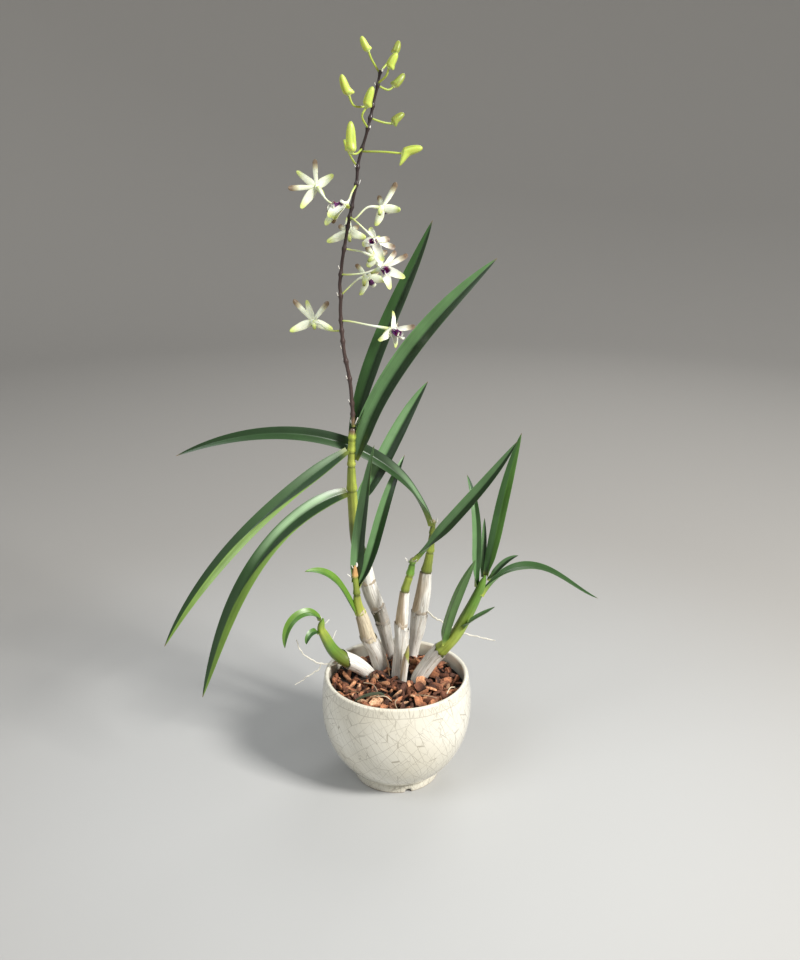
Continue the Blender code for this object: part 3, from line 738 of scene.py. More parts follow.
# Twigs on the bark: (points along the middle, radius)
TWIGS = (
    ([(-27, -8, 88), (-19, -15, 90), (-15, -25, 89)], 0.45),
    ([(-16, -30, 88), (-9, -33, 90), (-4, -36, 88)], 0.5),
    ([(1, -32, 87), (-1, -40, 88.5), (1, -47, 86)], 0.4),
    ([(48, -12, 86), (44, -18, 89), (41, -24, 87)], 0.55),
    ([(-40, -18, 86), (-32, -24, 88.5), (-26, -31, 86)], 0.4),
    ([(16, -26, 87), (24, -30, 89), (33, -29, 86)], 0.35),
    ([(-6, 2, 89), (-7, 1, 99), (-9, 0, 108)], 0.5),
)
TWIG_TONES = (HUSK, HUSK_PALE, HUSK, HUSK_PALE, HUSK_BROWN, HUSK, HUSK_BROWN)
# A dead leaf on the bark: points up its middle and its width
DEAD_LEAF = ([(-33, -34, 86.5), (-24, -32, 89.5), (-14, -29, 89.5), (-9, -29, 87.5)], 5.0)


def bark_height(x, y):
    """Height of the bark's top: a low mound with loose chips, higher at the back."""
    share = min(math.hypot(x, y) / BARK_REACH, 1.0)
    chips = math.sin(x * 0.55 + 1.3) * math.sin(y * 0.61) + 0.6 * math.sin(x * 0.23 - y * 0.31)
    inside = 1 - share ** 2
    return BARK_EDGE + BARK_TILT * y / BARK_REACH + BARK_MOUND * inside + BARK_BUMP * chips * inside


def add_mound(shape):
    """The dark mass under the chips: dark brown, near black as painted shade in the gaps between them."""
    columns = 72
    angles = np.arange(columns) * math.tau / columns
    rings = [[(BARK_REACH * math.cos(a), BARK_REACH * math.sin(a), BARK_SKIRT) for a in angles]]
    for share in (1.0, 0.9, 0.8, 0.65, 0.5, 0.35, 0.2, 0.08):
        places = [(BARK_REACH * share * math.cos(a), BARK_REACH * share * math.sin(a))
                  for a in angles]
        rings.append([(x, y, bark_height(x, y) - MOUND_DROP) for x, y in places])
    rings = np.array(rings)
    shape.skin(rings, BARK_GAP_SHADE, rings)


def add_chip(shape, rng, middle, length, steep, tone):
    """A splintered chip: facets along its length, blunt uneven ends."""
    width = length * rng.uniform(0.35, 0.75)
    thick = length * rng.uniform(0.18, 0.4)
    turned = Euler((rng.uniform(0, math.tau), rng.gauss(0, steep), rng.uniform(0, math.tau)))
    turned = np.array(turned.to_matrix())
    facets = [rng.uniform(0.7, 1.25) for _ in range(CHIP_FACETS)]
    shades = np.array([rng.uniform(0.55, 1.25) for _ in range(CHIP_FACETS)])
    lean = rng.uniform(-0.25, 0.25)
    rings = np.empty((len(CHIP_ROWS), CHIP_FACETS, 3))
    for i, (share, girth) in enumerate(CHIP_ROWS):
        for k, facet in enumerate(facets):
            angle = math.tau * k / CHIP_FACETS
            girth_here = girth * facet * rng.uniform(0.86, 1.14)
            rings[i, k] = (
                share * length + rng.uniform(-0.07, 0.07) * length,
                math.cos(angle) * girth_here * width / 2 + lean * share * width,
                math.sin(angle) * girth_here * thick / 2,
            )
    local = rings.copy()
    rings = rings @ turned.T + np.array(middle)
    # Painted shade: each chip darkens towards its underside and lightens on top
    depth = np.clip(0.68 + 0.26 * (rings[..., 2:] - middle[2]), 0.15, 1.25)
    shape.skin(rings, np.array(tone) * depth * shades[:, None], local + rng.uniform(0, 500))


def clear_of_canes(canes, x, y, gap):
    """Whether a place on the bark is outside every cane's foot."""
    for cane in canes.values():
        foot = at_height(cane.rows, bark_height(x, y))
        if math.hypot(x - foot[0], y - foot[1]) < foot[3] / 2 + gap:
            return False
    return True


def chip_places(rng):
    """Places over the bark in a loose honeycomb."""
    row_step = CHIP_SPACING * math.sqrt(3) / 2
    reach = int(BARK_REACH / row_step)
    for j in range(-reach, reach + 1):
        for i in range(-reach - 1, reach + 2):
            x = (i + 0.5 * (j % 2)) * CHIP_SPACING + rng.uniform(-CHIP_STRAY, CHIP_STRAY)
            y = j * row_step + rng.uniform(-CHIP_STRAY, CHIP_STRAY)
            if math.hypot(x, y) < BARK_REACH - 2.5:
                yield x, y


def add_litter(shape):
    """Twigs and a dead leaf that lie on the bark."""
    for (points, radius), tone in zip(TWIGS, TWIG_TONES):
        path = smooth_path(points, 6)
        plain_tube(shape, path, np.linspace(radius, radius * 0.6, len(path)), tone, 8, slot=1)
    points, width = DEAD_LEAF
    path = smooth_path(points, 6)
    ahead, across, over = carried(path, (0.0, 1.0, 0.0))
    shares = np.linspace(0.0, 1.0, len(path))
    half = width / 2 * np.sqrt(np.sin(math.pi * (0.04 + 0.92 * shares)))
    lift = half[:, None] * 0.4 * np.linspace(-1, 1, 7) ** 2
    add_blade(shape, path, across, over, half, lift, np.full(lift.shape, 0.3), DEAD_GREEN, slot=1)


def build_bark(canes):
    rng = random.Random(11)
    tones = [tone for tone, weight in BARK_TONES for _ in range(weight)]
    bark = Shape()
    add_mound(bark)
    for x, y in chip_places(rng):
        length = min(rng.uniform(*CHIP_LENGTH), (BARK_REACH - math.hypot(x, y)) * 1.7)
        if clear_of_canes(canes, x, y, length * 0.22):
            lift = rng.uniform(*CHIP_LIFT)
            add_chip(bark, rng, (x, y, bark_height(x, y) + lift), length, 0.5, rng.choice(tones))
    for _ in range(CRUMB_COUNT):
        angle, reach = rng.uniform(0, math.tau), (BARK_REACH - 1.5) * math.sqrt(rng.random())
        x, y = reach * math.cos(angle), reach * math.sin(angle)
        if clear_of_canes(canes, x, y, 0.3):
            middle = (x, y, bark_height(x, y) + rng.uniform(-1.0, 1.8))
            add_chip(bark, rng, middle, rng.uniform(*CRUMB_LENGTH), 0.8, rng.choice(tones))
    add_litter(bark)
    wood = painted("bark_wood", 0.82, 0.9, 0.18, 0.55, 0.5, patches=0.3)
    litter = painted("bark_litter", 0.75, 1.2, 0.2, 0.25, 0.1)
    place_piece(bark, "bark_mix", [wood, litter], sharp=20)


# Canes

# What covers each cane, from the foot up: the colour that each stretch ends with
CANE_TINTS = {
    "cane_flowering": [
        (76, PAPER_GREY), (180, HUSK), (184, OLIVE), (215, OLIVE), (222, YELLOW_GREEN),
        (262, LIME), (268, YELLOW_GREEN), (292, LIME), (294, HUSK_BROWN), (298, STEM_DARK),
    ],
    "cane_front_left": [
        (76, PAPER_GREY), (137, HUSK), (139, YELLOW_GREEN), (154, YELLOW_GREEN), (157, OLIVE),
        (172, LIME), (175, DRY_TIP), (183, DRY_TIP),
    ],
    "cane_front_middle": [
        (76, PAPER_GREY), (159, HUSK), (161, OLIVE), (174, LIME), (176, LEAF_FRESH),
        (186, LEAF_FRESH), (190, HUSK),
    ],
    "cane_back_right": [
        (76, PAPER_GREY), (161, HUSK), (163, OLIVE), (180, LIME), (200, OLIVE), (207, OLIVE),
        (210, HUSK),
    ],
    "cane_right": [
        (76, PAPER_GREY), (104, HUSK), (108, OLIVE), (124, LIME), (160, LEAF_FRESH),
        (184, LEAF_FRESH),
    ],
    "shoot_left": [
        (76, PAPER_GREY), (96, PAPER), (99, OLIVE), (116, LEAF_FRESH), (132, LIME),
        (142, LEAF_FRESH),
    ],
    "shoot_young": [
        (76, HUSK), (90, PAPER), (108, YELLOW_GREEN), (118, HUSK),
    ],
}
# Heights of the rings where the canes' joints are
CANE_JOINTS = {
    "cane_flowering": (119, 134, 158, 182, 244, 265, 277, 288),
    "cane_front_left": (113, 137, 156, 172),
    "cane_front_middle": (128, 160, 174, 184),
    "cane_back_right": (124, 162, 180, 196),
    "cane_right": (112,),
    "shoot_left": (),
    "shoot_young": (),
}
# Diameters over which a cane narrows to its top
CANE_TAPERS = {"cane_right": 2.4, "shoot_left": 1.6, "shoot_young": 3.0, "cane_front_left": 1.5}
CANE_TAPER = 0.5
JOINT_SWELL = 0.5
JOINT_LINE = 0.8  # half height of the dark line at a joint
CANE_INSET = 0.15  # the cane's own skin lies this far inside its packed size
# Papery sheaths: (cane, from, to, colour on the left and on the right, side that reaches
#                  higher, how much higher, raggedness, how far the edge stands off). The left
# colour is partly painted shade, on the side away from the light, and partly the husk's own tan.
SHEATHS = (
    ("cane_flowering", 76, 119, PAPER_GREY, PAPER, 180, 1.0, 1.2, 0.5),
    ("cane_flowering", 116, 134, BAND_GREEN, PAPER_GREY, 0, 1.5, 1.0, 0.3),
    ("cane_flowering", 131, 182, PAPER_GREY, PAPER, 90, 2.0, 1.5, 0.3),
    ("cane_front_left", 76, 114, PAPER_GREY, PAPER, 150, 3.0, 3.0, 0.8),
    ("cane_front_left", 110, 138, HUSK, HUSK_PALE, -30, 4.0, 1.6, 0.2),
    ("cane_front_middle", 76, 129, PAPER_GREY, PAPER, 180, 3.5, 3.4, 1.2),
    ("cane_front_middle", 124, 160, HUSK, PAPER, 0, 0.4, 0.5, 0.2),
    ("cane_back_right", 76, 124, PAPER_GREY, PAPER, 200, 1.5, 2.0, 0.5),
    ("cane_back_right", 121, 162, HUSK, PAPER, 0, 0.3, 0.5, 0.2),
    ("cane_right", 76, 112, PAPER_GREY, PAPER, 200, 3.0, 2.4, 0.7),
    ("shoot_left", 76, 101, PAPER, PAPER, 60, 6.0, 1.6, 0.4),
    ("shoot_young", 76, 104, HUSK, PAPER, 200, 5.0, 1.5, 0.3),
)
SHEATH_OFF = 0.15  # how far a sheath stands off the cane, and how thick it is
SHEATH_THICK = 0.2
SHEATH_ROWS = 26
SHEATH_COLUMNS = 48
# Dry scraps on the canes: (cane, height, azimuth that they point to, length, width, lean out)
SCRAPS = (
    ("cane_front_left", 172, 185, 5.0, 1.6, 0.9), ("cane_front_left", 181, 60, 4.0, 2.4, 0.2),
    ("cane_front_left", 181, 200, 3.0, 2.0, 0.3), ("cane_front_middle", 185, 160, 5.0, 2.4, 0.8),
    ("cane_front_middle", 187, 300, 4.5, 2.6, 0.9), ("cane_front_middle", 187, 30, 4.0, 2.2, 0.3),
    ("cane_back_right", 206, 20, 5.0, 2.6, 0.3), ("cane_back_right", 207, 230, 4.0, 2.2, 0.4),
    ("shoot_left", 138, 110, 5.0, 2.2, 0.7), ("shoot_left", 137, 20, 4.5, 2.0, 1.0),
    ("shoot_left", 118, 60, 9.0, 1.0, 0.8), ("cane_flowering", 291, 100, 5.0, 2.4, 0.6),
)


class Cane:
    """A cane's path, and the places on its skin."""

    def __init__(self, points):
        self.rows = evenly(smooth_path(points, 12), CANE_ROW)
        self.run = run_along(self.rows[:, :3])
        _, across, over = carried(self.rows[:, :3], (1.0, 0.0, 0.0))
        self.table = np.c_[self.rows, across, over]

    def along(self, height):
        """Distance along the cane at a height."""
        return np.interp(height, self.rows[:, 2], self.run)

    def skin(self, run, angles, off):
        """Points at distances along the cane, round it and off its skin."""
        values = np.stack([np.interp(run, self.run, column) for column in self.table.T], -1)
        out = (values[..., 4:7] * np.cos(angles)[..., None]
               + values[..., 7:10] * np.sin(angles)[..., None])
        return values[..., :3] + out * (values[..., 3] / 2 + off)[..., None]


def ring_noise(angles, levels, turns, rise, seed=0.0):
    """Noise over a tube, a row for each level, that closes on itself round the tube."""
    return np.array([[ripple(turns * math.cos(a) + seed, turns * math.sin(a), level * rise)
                      for a in angles] for level in levels])


def add_cane(shape, name, cane):
    """The cane itself: pinched at each joint, swollen above it and streaked lengthwise."""
    heights = cane.rows[:, 2]
    angles = np.arange(CANE_COLUMNS) * math.tau / CANE_COLUMNS
    off = np.full(len(heights), -CANE_INSET)
    tone = np.ones(len(heights))
    for joint in CANE_JOINTS[name]:
        off += JOINT_SWELL * np.exp(-((heights - joint - 1.8) / 2.4) ** 2)
        off -= 1.4 * JOINT_SWELL * np.exp(-((heights - joint) / JOINT_LINE) ** 2)
        tone *= 1 + 0.12 * np.exp(-((heights - joint - 3.5) / 3.0) ** 2)
        tone *= 1 - 0.12 * np.exp(-((heights - joint + 2.5) / 3.0) ** 2)
        tone *= 1 - 0.5 * np.exp(-((heights - joint) / JOINT_LINE) ** 2)
    left = (cane.run[-1] - cane.run) / (cane.rows[-1, 3] * CANE_TAPERS.get(name, CANE_TAPER))
    off -= cane.rows[:, 3] / 2 * (1 - np.sqrt(1 - (1 - left).clip(0.0, 0.93) ** 2))
    ribs = ring_noise(angles, heights, 1.3, 0.05)
    stripes = ring_noise(angles, heights, 3.2, 0.012, len(name))
    off = off[:, None] + 0.03 * cane.rows[:, 3:] * ribs
    rings = cane.skin(cane.run[:, None], angles, off)
    tints = blend(CANE_TINTS[name], heights) * tone[:, None]
    tints = tints[:, None] * (1 + 0.3 * stripes)[..., None]
    shape.skin(rings, tints, round_grain(cane.rows[:, :3], CANE_COLUMNS))


def add_sheath(shape, cane, row, number):
    """A thin papery sheath round a cane with a ragged upper edge."""
    _, low, high, tint_shaded_left, tint_lit_right, side, slant, rag, flare = row
    angles = np.arange(SHEATH_COLUMNS) * math.tau / SHEATH_COLUMNS
    torn = np.array([ripple(2.2 * math.cos(a) + number, 2.2 * math.sin(a))
                     + 0.7 * ripple(7 * math.cos(a), 7 * math.sin(a), number) for a in angles])
    start = cane.along(low)
    tops = cane.along(high) + slant * np.cos(angles - math.radians(side)) + rag * torn
    shares = np.linspace(0.0, 1.0, SHEATH_ROWS)
    run = (start + shares[:, None] * (tops - start)).clip(0.0, cane.run[-1])
    ridges = (ring_noise(angles, start + shares * (high - low), 2.6, 0.03, number)
              + 0.5 * ring_noise(angles, start + shares * (high - low), 7.0, 0.04, number))
    edge = shares[:, None] ** 8 * flare * (1.0 + 0.8 * ridges)
    off = SHEATH_OFF + 0.3 * ridges.clip(-0.4, 1.0) + edge
    rings = np.concatenate([cane.skin(run, angles, off),
                            cane.skin(run, angles, off - SHEATH_THICK)[::-1]])
    stain = ring_noise(angles, start + shares * (high - low), 1.6, 0.05, 5.0 * number)
    # Painted shade: the left side, away from the light, takes the darker colour, broken up by stains
    right = ease(0.2, 0.8, 0.5 + 0.5 * np.cos(angles) + 0.5 * stain)[..., None]
    tone = np.array(tint_shaded_left) * (1 - right) + np.array(tint_lit_right) * right
    tone = tone * (1 - 0.15 * stain.clip(0, 1))[..., None]
    tone = tone * (1 - 0.15 * ease(0.94, 1.0, shares))[:, None, None]
    grain = np.empty(rings.shape)
    grain[..., 0] = np.cos(angles) * 5
    grain[..., 1] = np.sin(angles) * 5
    grain[..., 2] = np.concatenate([run, run[::-1]])
    # The inner face is painted at 0.6 of the outer colour: painted shade inside the sheath
    shape.skin(rings, np.concatenate([tone, tone[::-1] * 0.6]), grain, 1, ends="loop")


def add_scrap(shape, foot, way, length, width, lean, tint, slot=0):
    """A small dry scale: a pointed blade that stands up from where it grows."""
    shares = np.linspace(0.0, 1.0, 9)
    rise = unit(np.array(way) * lean + np.array((0.0, 0.0, 1.0)))
    curl = np.array(way)[None] * (lean * length * 0.25 * shares ** 2)[:, None]
    points = foot + shares[:, None] * rise * length + curl
    sideways = unit(np.cross(rise, way))
    upward = unit(np.cross(sideways, rise))
    half = width / 2 * np.sqrt(np.sin(math.pi * (0.12 + 0.86 * shares)))
    across = np.linspace(-1, 1, 5)
    lift = half[:, None] * 0.5 * across ** 2
    rows = len(shares)
    add_blade(shape, points, np.tile(sideways, (rows, 1)), np.tile(upward, (rows, 1)), half, lift,
              np.full(lift.shape, 0.25), tint, slot=slot)


def build_canes(canes, cane_material, paper_material):
    for name, cane in canes.items():
        shape = Shape()
        add_cane(shape, name, cane)
        for number, row in enumerate(SHEATHS):
            if row[0] == name:
                add_sheath(shape, cane, row, number)
        for owner, height, azimuth, length, width, lean in SCRAPS:
            if owner == name:
                place = at_height(cane.rows, height)
                way = direction(azimuth, 0)
                foot = place[:3] + way * place[3] * 0.4
                add_scrap(shape, foot, way, length, width, lean, PAPER, 1)
        place_piece(shape, name, [cane_material, paper_material])


# Leaves

# Painted light and shade on the two halves of each folded blade: the colour of the half that lies to the
# viewer's upper left and of the other half
LEAF_LIT_AND_SHADED_HALVES = {
    "leaf_crown_right": (LEAF_PAINTED_LIT, LEAF_DEEP),
    "leaf_crown_back": (LEAF_DARK, LEAF_DEEP),
    "leaf_arch": (LEAF_DEEP, LEAF_SHADE),
    "leaf_droop_upper": (LEAF_DARK, LEAF_DEEP),
    "leaf_droop_lower": (LEAF_DARK, LEAF_DEEP),
    "leaf_front_small": (LEAF_FRESH, LEAF_MIDDLE),
    "leaf_left_curl": (LEAF_FRESH, LEAF_MIDDLE),
    "leaf_left_short": (LEAF_MIDDLE, LEAF_DARK),
    "leaf_right_tall": (LEAF_DARK, LEAF_MIDDLE),
    "leaf_right_inner": (LEAF_PAINTED_LIT, LEAF_DARK),
    "leaf_right_arch": (LEAF_DARK, LEAF_DARK),
}
# Leaves that lie open down to the cane: (width at the base as a share of the widest, share
#                                         of the length where the leaf is widest)
LEAF_OPENINGS = {
    "leaf_droop_upper": (0.5, 0.18),
    "leaf_droop_lower": (0.6, 0.15),
    "leaf_crown_right": (0.3, 0.16),
    "leaf_front_small": (0.8, 0.2),
}
# Bright lower edges, painted light where the lower half turns to the lamp, partly its paler
# underside showing: (share of the length where it begins and where it is widest, its width
# there by the width of the lower half)
LEAF_LIT_STRIPS = {
    "leaf_droop_upper": (0.12, 0.6, 1.05),
    "leaf_droop_lower": (0.15, 0.65, 1.0),
}
# Painted sheen, a pale reflection, on the upper half: (share of the length from, to, strength)
LEAF_PAINTED_SHEENS = {
    "leaf_droop_lower": (0.02, 0.5, 0.9),
    "leaf_droop_upper": (0.0, 0.3, 0.2),
    "leaf_arch": (-0.1, 0.35, 0.55),
    "leaf_main_right": (0.2, 1.0, 0.3),
}


def leaf_width(share, width, base, widen):
    """A strap that widens from its base and narrows to a point."""
    part = np.minimum(share / widen, 1.0)
    opening = base + (1 - base) * np.sin(part * math.pi / 2)
    fall = np.maximum(share - LEAF_TAPER_START, 0.0) / (1 - LEAF_TAPER_START)
    return width * opening * (1 - fall ** 2.3) ** 0.8


def leaf_rise(share, rises):
    """The parabola through the rises at the base, part way along and at the tip."""
    low, middle, high = rises
    m = LEAF_RISE_SHARE
    return (low * (share - m) * (share - 1) / m
            + middle * share * (share - 1) / (m * (m - 1))
            + high * share * (share - m) / (1 - m))


def leaf_roll(share, level, above, side, turn):
    """The blade's roll: it faces the cane and the sky at its base, then turns to its own side."""
    facing = np.array((0.0, 0.0, 1.0)) - direction(side, 0)
    start = math.atan2(-facing.dot(level), facing.dot(above))
    change = (turn - start + math.pi) % math.tau - math.pi
    return start + change * ease(0.0, LEAF_TWIST_END, share)


def leaf_line(name, row, cane):
    """Points up a leaf's middle, with the directions to its right and up from its blade."""
    _, height, side, length, _, azimuths, rises, turn = row
    foot = at_height(cane.rows, height)
    point = foot[:3] + direction(side, 0) * (foot[3] / 2 + LEAF_GAP)
    points, sideways, upward = [], [], []
    for i in range(LEAF_ROWS + 1):
        share = i / LEAF_ROWS
        azimuth = azimuths[0] + (azimuths[1] - azimuths[0]) * share
        ahead = direction(azimuth, leaf_rise(share, rises))
        level = direction(azimuth + 90, 0)
        above = np.cross(ahead, level)
        roll = math.radians(turn)
        if name not in LEAF_OPENINGS:
            roll = leaf_roll(share, level, above, side, roll)
        points.append(point)
        sideways.append(level * math.cos(roll) + above * math.sin(roll))
        upward.append(above * math.cos(roll) - level * math.sin(roll))
        rise = leaf_rise(share + 0.5 / LEAF_ROWS, rises)
        point = point + direction(azimuth, rise) * (length / LEAF_ROWS)
    return np.array(points), np.array(sideways), np.array(upward)


def leaf_tint(name, shares, upper):
    """Colours over the blade, with light and shade painted on: a lit and a shaded half, painted sheen, a
    painted lit strip along the lower edge and painted highlights along the crease and edges. upper runs
    from -1 at its lower edge to 1 at its upper edge.
    """
    # A lit half and a shaded half: painted light and shade across the fold
    light, dark = (np.array(tone) for tone in LEAF_LIT_AND_SHADED_HALVES.get(name, (LEAF_PAINTED_LIT, LEAF_DEEP)))
    lit = np.ones(len(shares))
    # Painted shade: on the leaves with a lit lower strip, the upper half fades to the shaded colour
    # towards the tip
    if name in LEAF_LIT_STRIPS:
        lit = 1 - ease(0.3, 0.6, shares)
    tint = dark + (light - dark) * (lit[:, None] * ease(-0.15, 0.15, upper))[..., None]
    # Painted sheen: a pale reflection laid on the upper half
    if name in LEAF_PAINTED_SHEENS:
        begins, ends, strength = LEAF_PAINTED_SHEENS[name]
        along = ease(begins, begins + 0.1, shares) * (1 - ease(ends - 0.25, ends, shares))
        painted_sheen = strength * along[:, None] * ease(0.0, 0.3, upper) * (1 - ease(0.7, 1.0, upper))
        tint = tint + (np.array(LEAF_SHEEN) - tint) * painted_sheen[..., None]
    # Painted light: a bright strip along the lower edge that widens towards the tip, partly the paler
    # underside
    if name in LEAF_LIT_STRIPS:
        begins, widest, reach = LEAF_LIT_STRIPS[name]
        edge = 1 - reach * ease(begins, widest, shares)[:, None]
        lit_strip = ease(edge - 0.08, edge + 0.08, -upper)[..., None]
        tint = tint + (np.array(LEAF_LIT_STRIP) - tint) * lit_strip
    # Painted highlights: a pale line along the crease and pale edges
    crease_highlight = 0.12 * np.exp(-(upper / 0.09) ** 2)
    edge_highlight = 0.3 * ease(0.86, 0.98, np.abs(upper))
    blotch = np.array([[ripple(s * 9, u * 1.4, len(name)) for u in upper] for s in shares])
    tint = tint * (1 + crease_highlight + edge_highlight + 0.12 * blotch)[..., None]
    ends = blend([(0.0, OLIVE), (1.0, HUSK_BROWN)], shares)[:, None]
    own = (ease(0.0, 0.04, shares) * (1 - ease(0.98, 1.0, shares)))[:, None, None]
    return ends + (tint - ends) * own


def build_leaf(name, row, canes, material):
    """A blade folded along its middle, with a keel below and thin edges."""
    width = row[4]
    cane = canes[row[0]]
    points, sideways, upward = leaf_line(name, row, cane)
    shares = np.linspace(0.0, 1.0, LEAF_ROWS + 1)
    across = np.linspace(-1.0, 1.0, LEAF_COLUMNS + 1)
    out = np.abs(across)
    base, widen = LEAF_OPENINGS.get(name, (LEAF_BASE_SHARE, LEAF_WIDEN_END))
    half = leaf_width(np.minimum(shares, 0.997), width, base, widen) / 2
    clasp = (1 - ease(0.0, LEAF_FOLD_START, shares)) * (name not in LEAF_OPENINGS)
    fold = np.radians(LEAF_FOLD + (LEAF_CLASP - LEAF_FOLD) * clasp)
    keel = np.sqrt(out ** 2 + 0.004) - 0.06
    swell = out * (1 - out) * 0.22
    wave = np.array([[ripple(s * 4, math.copysign(3.0, a), len(name)) for a in across] for s in shares])
    lift = half[:, None] * (np.sin(fold)[:, None] * keel + swell * np.cos(fold)[:, None]
                            + LEAF_WAVE * wave * out ** 2)
    thin = np.minimum((1 - shares) * 4, 1.0)[:, None]
    thick = (LEAF_EDGE + (LEAF_KEEL - LEAF_EDGE) * (1 - out) ** 1.6) * (0.35 + 0.65 * thin)
    under = blend([(0.0, LIME), (0.08, LEAF_MIDDLE), (0.2, LEAF_UNDER), (1.0, LEAF_UNDER)], shares)
    # Which way across the blade lies to the viewer's upper left, so that the painted light and shade of
    # the halves fall on the right sides
    to_upper = sideways[LEAF_ROWS // 2].dot(from_view(-0.7, 0.7, 0.0))
    leaf = Shape()
    add_blade(leaf, points, sideways, upward, half * np.cos(fold), lift, thick,
              leaf_tint(name, shares, math.copysign(1.0, to_upper) * across), under[:, None])
    place_piece(leaf, name, [material], sharp=65)


# Flower stem, buds and flowers


def stem_path():
    """Points up the flower stem with its radius."""
    foot, top = STEM_RADIUS
    path = smooth_path(STEM, 16)
    share = (path[:, 2] - STEM[0][2]) / (STEM[-1][2] - STEM[0][2])
    return np.c_[path, foot + (top - foot) * share]


STEM_JOINTS = (
    309, 318, 338, 352, 368, 376, 384, 403, 419, 438, 454, 461, 468, 484, 496, 509, 523, 530, 538,
    552, 561,
)
STEM_KNOB = 0.7
STEM_SWAY = 0.5  # how far the stem strays to each side between its joints
# Dry bracts on the stem: (height, azimuth that they point to, length)
BRACTS = (
    (301, -20, 6), (300, 110, 5), (319, 200, 2.5), (338, -150, 3), (352, 150, 2.5),
    (362, 185, 3), (403, 200, 3), (423, 190, 3), (454, 160, 2), (484, 0, 3.5), (496, 200, 2),
    (523, -30, 2), (552, 200, 2), (561, -40, 2.5), (561, 150, 2.5),
)


def build_stem(stem, material, paper_material):
    shape = Shape()
    heights = stem[:, 2]
    radii = stem[:, 3] - 0.15
    for joint in STEM_JOINTS:
        radii += STEM_KNOB * np.exp(-((heights - joint) / 1.7) ** 2)
    sway = np.array([[ripple(z * 0.09, k) for k in (2.5, 6.5)] for z in heights]) * STEM_SWAY
    path = stem[:, :3].copy()
    path[:, :2] += sway
    tint = blend([(298, OLIVE), (303, HUSK_BROWN), (308, STEM_BROWN), (400, STEM_BROWN), (450, STEM_DARK),
                  (562, STEM_DARK)], heights)
    plain_tube(shape, path, radii, tint, 18)
    swayed = np.c_[path, radii]
    for height, azimuth, length in BRACTS:
        place = at_height(swayed, height)
        way = direction(azimuth, 0)
        foot = place[:3] + way * place[3] * 0.8
        add_scrap(shape, foot, way, length, length * 0.6, 0.35, PAPER, 1)
    place_piece(shape, "flower_stem", [material, paper_material])


def stalk_start(stem, height):
    return at_height(stem, height)[:3]


# Buds that hang in shade get a darker olive green: painted shade
SHADED_BUD_TONES = {"bud_4": BUD_IN_SHADE, "bud_7": BUD_IN_SHADE, "bud_2": BUD_IN_SHADE}
# Way that each bud's chin points as the viewer sees it, and the chin's size by the bud's width
BUD_CHINS = {
    "bud_1": ((0.9, 0.2, 0.2), 0.35), "bud_2": ((-0.6, -0.4, 0.3), 0.4),
    "bud_3": ((0.9, -0.5, -0.2), 0.35), "bud_4": ((-0.4, 0.9, 0.2), 0.4),
    "bud_5": ((0.9, 0.2, -0.2), 0.55), "bud_6": ((0.8, -0.6, -0.1), 0.3),
    "bud_7": ((-0.5, -0.8, 0.1), 0.4), "bud_8": ((0.5, -0.5, -0.6), 0.3),
    "bud_9": ((-0.3, -0.95, 0.0), 1.5), "bud_10": ((-0.3, -0.9, 0.3), 0.3),
}
BUD_BLUNTNESS = 5.0
BUD_GROWTH = 1.12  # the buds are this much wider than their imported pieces
CHIN_PLACE = 0.16  # share of the bud's length where its chin is
CHIN_REACH = 0.11


def build_bud(name, row, stem, material):
    """A stalk and a closed bud: a blunt thumb of lapped sepals with a chin at its base."""
    height, bend, low, tip, width = row
    low, tip = np.array(low, float), np.array(tip, float)
    width = width * BUD_GROWTH
    shape = Shape()
    way = unit(tip - low)
    stalk = smooth_path([stalk_start(stem, height), bend, low, low + way * 1.5], 8)
    shares = np.linspace(0.0, 1.0, len(stalk))
    radii = STALK_RADIUS * (0.95 + 0.5 * ease(0.7, 1.0, shares))
    full = np.array(SHADED_BUD_TONES.get(name, BUD_LIME))
    tint = blend([(0.0, OLIVE), (0.12, LIME), (1.0, full)], shares)
    plain_tube(shape, stalk, radii, tint, 12)
    chin_way, chin = BUD_CHINS[name]
    bow = from_view(*chin_way)
    bow = unit(bow - way * bow.dot(way))
    shares = 1 - (1 - np.linspace(0.0, 1.0, 34)) ** 1.3
    length = np.linalg.norm(tip - low)
    points = low + (shares * length)[:, None] * way - bow * (0.4 * np.sin(math.pi * shares))[:, None]
    girth = (0.42 + 0.58 * ease(0.0, 0.22, shares)) * (1 - 0.12 * ease(0.35, 1.0, shares))
    girth = girth * np.sqrt(1 - np.minimum(shares, 0.997) ** BUD_BLUNTNESS)
    columns = 30
    angles = np.arange(columns) * math.tau / columns
    lobes = 1 - 0.06 * np.abs(np.cos(1.5 * angles)) ** 10
    rings = tube_rings(points, (width / 2 * girth)[:, None] * lobes, columns, bow)
    bulge = (np.exp(-((shares - CHIN_PLACE) / CHIN_REACH) ** 2)[:, None]
             * np.maximum(np.cos(angles), 0.0) ** 2 * chin * width)
    rings = rings + bulge[..., None] * (bow * 0.62 - way * 0.55)
    tone = blend([(0.0, BUD_PALE), (0.2, full), (0.75, full), (1.0, full * 0.9)], shares)
    seams = 1 - 0.3 * np.abs(np.cos(1.5 * angles)) ** 18
    shape.skin(rings, tone[:, None] * seams[None, :, None], round_grain(points, columns))
    place_piece(shape, name, [material])


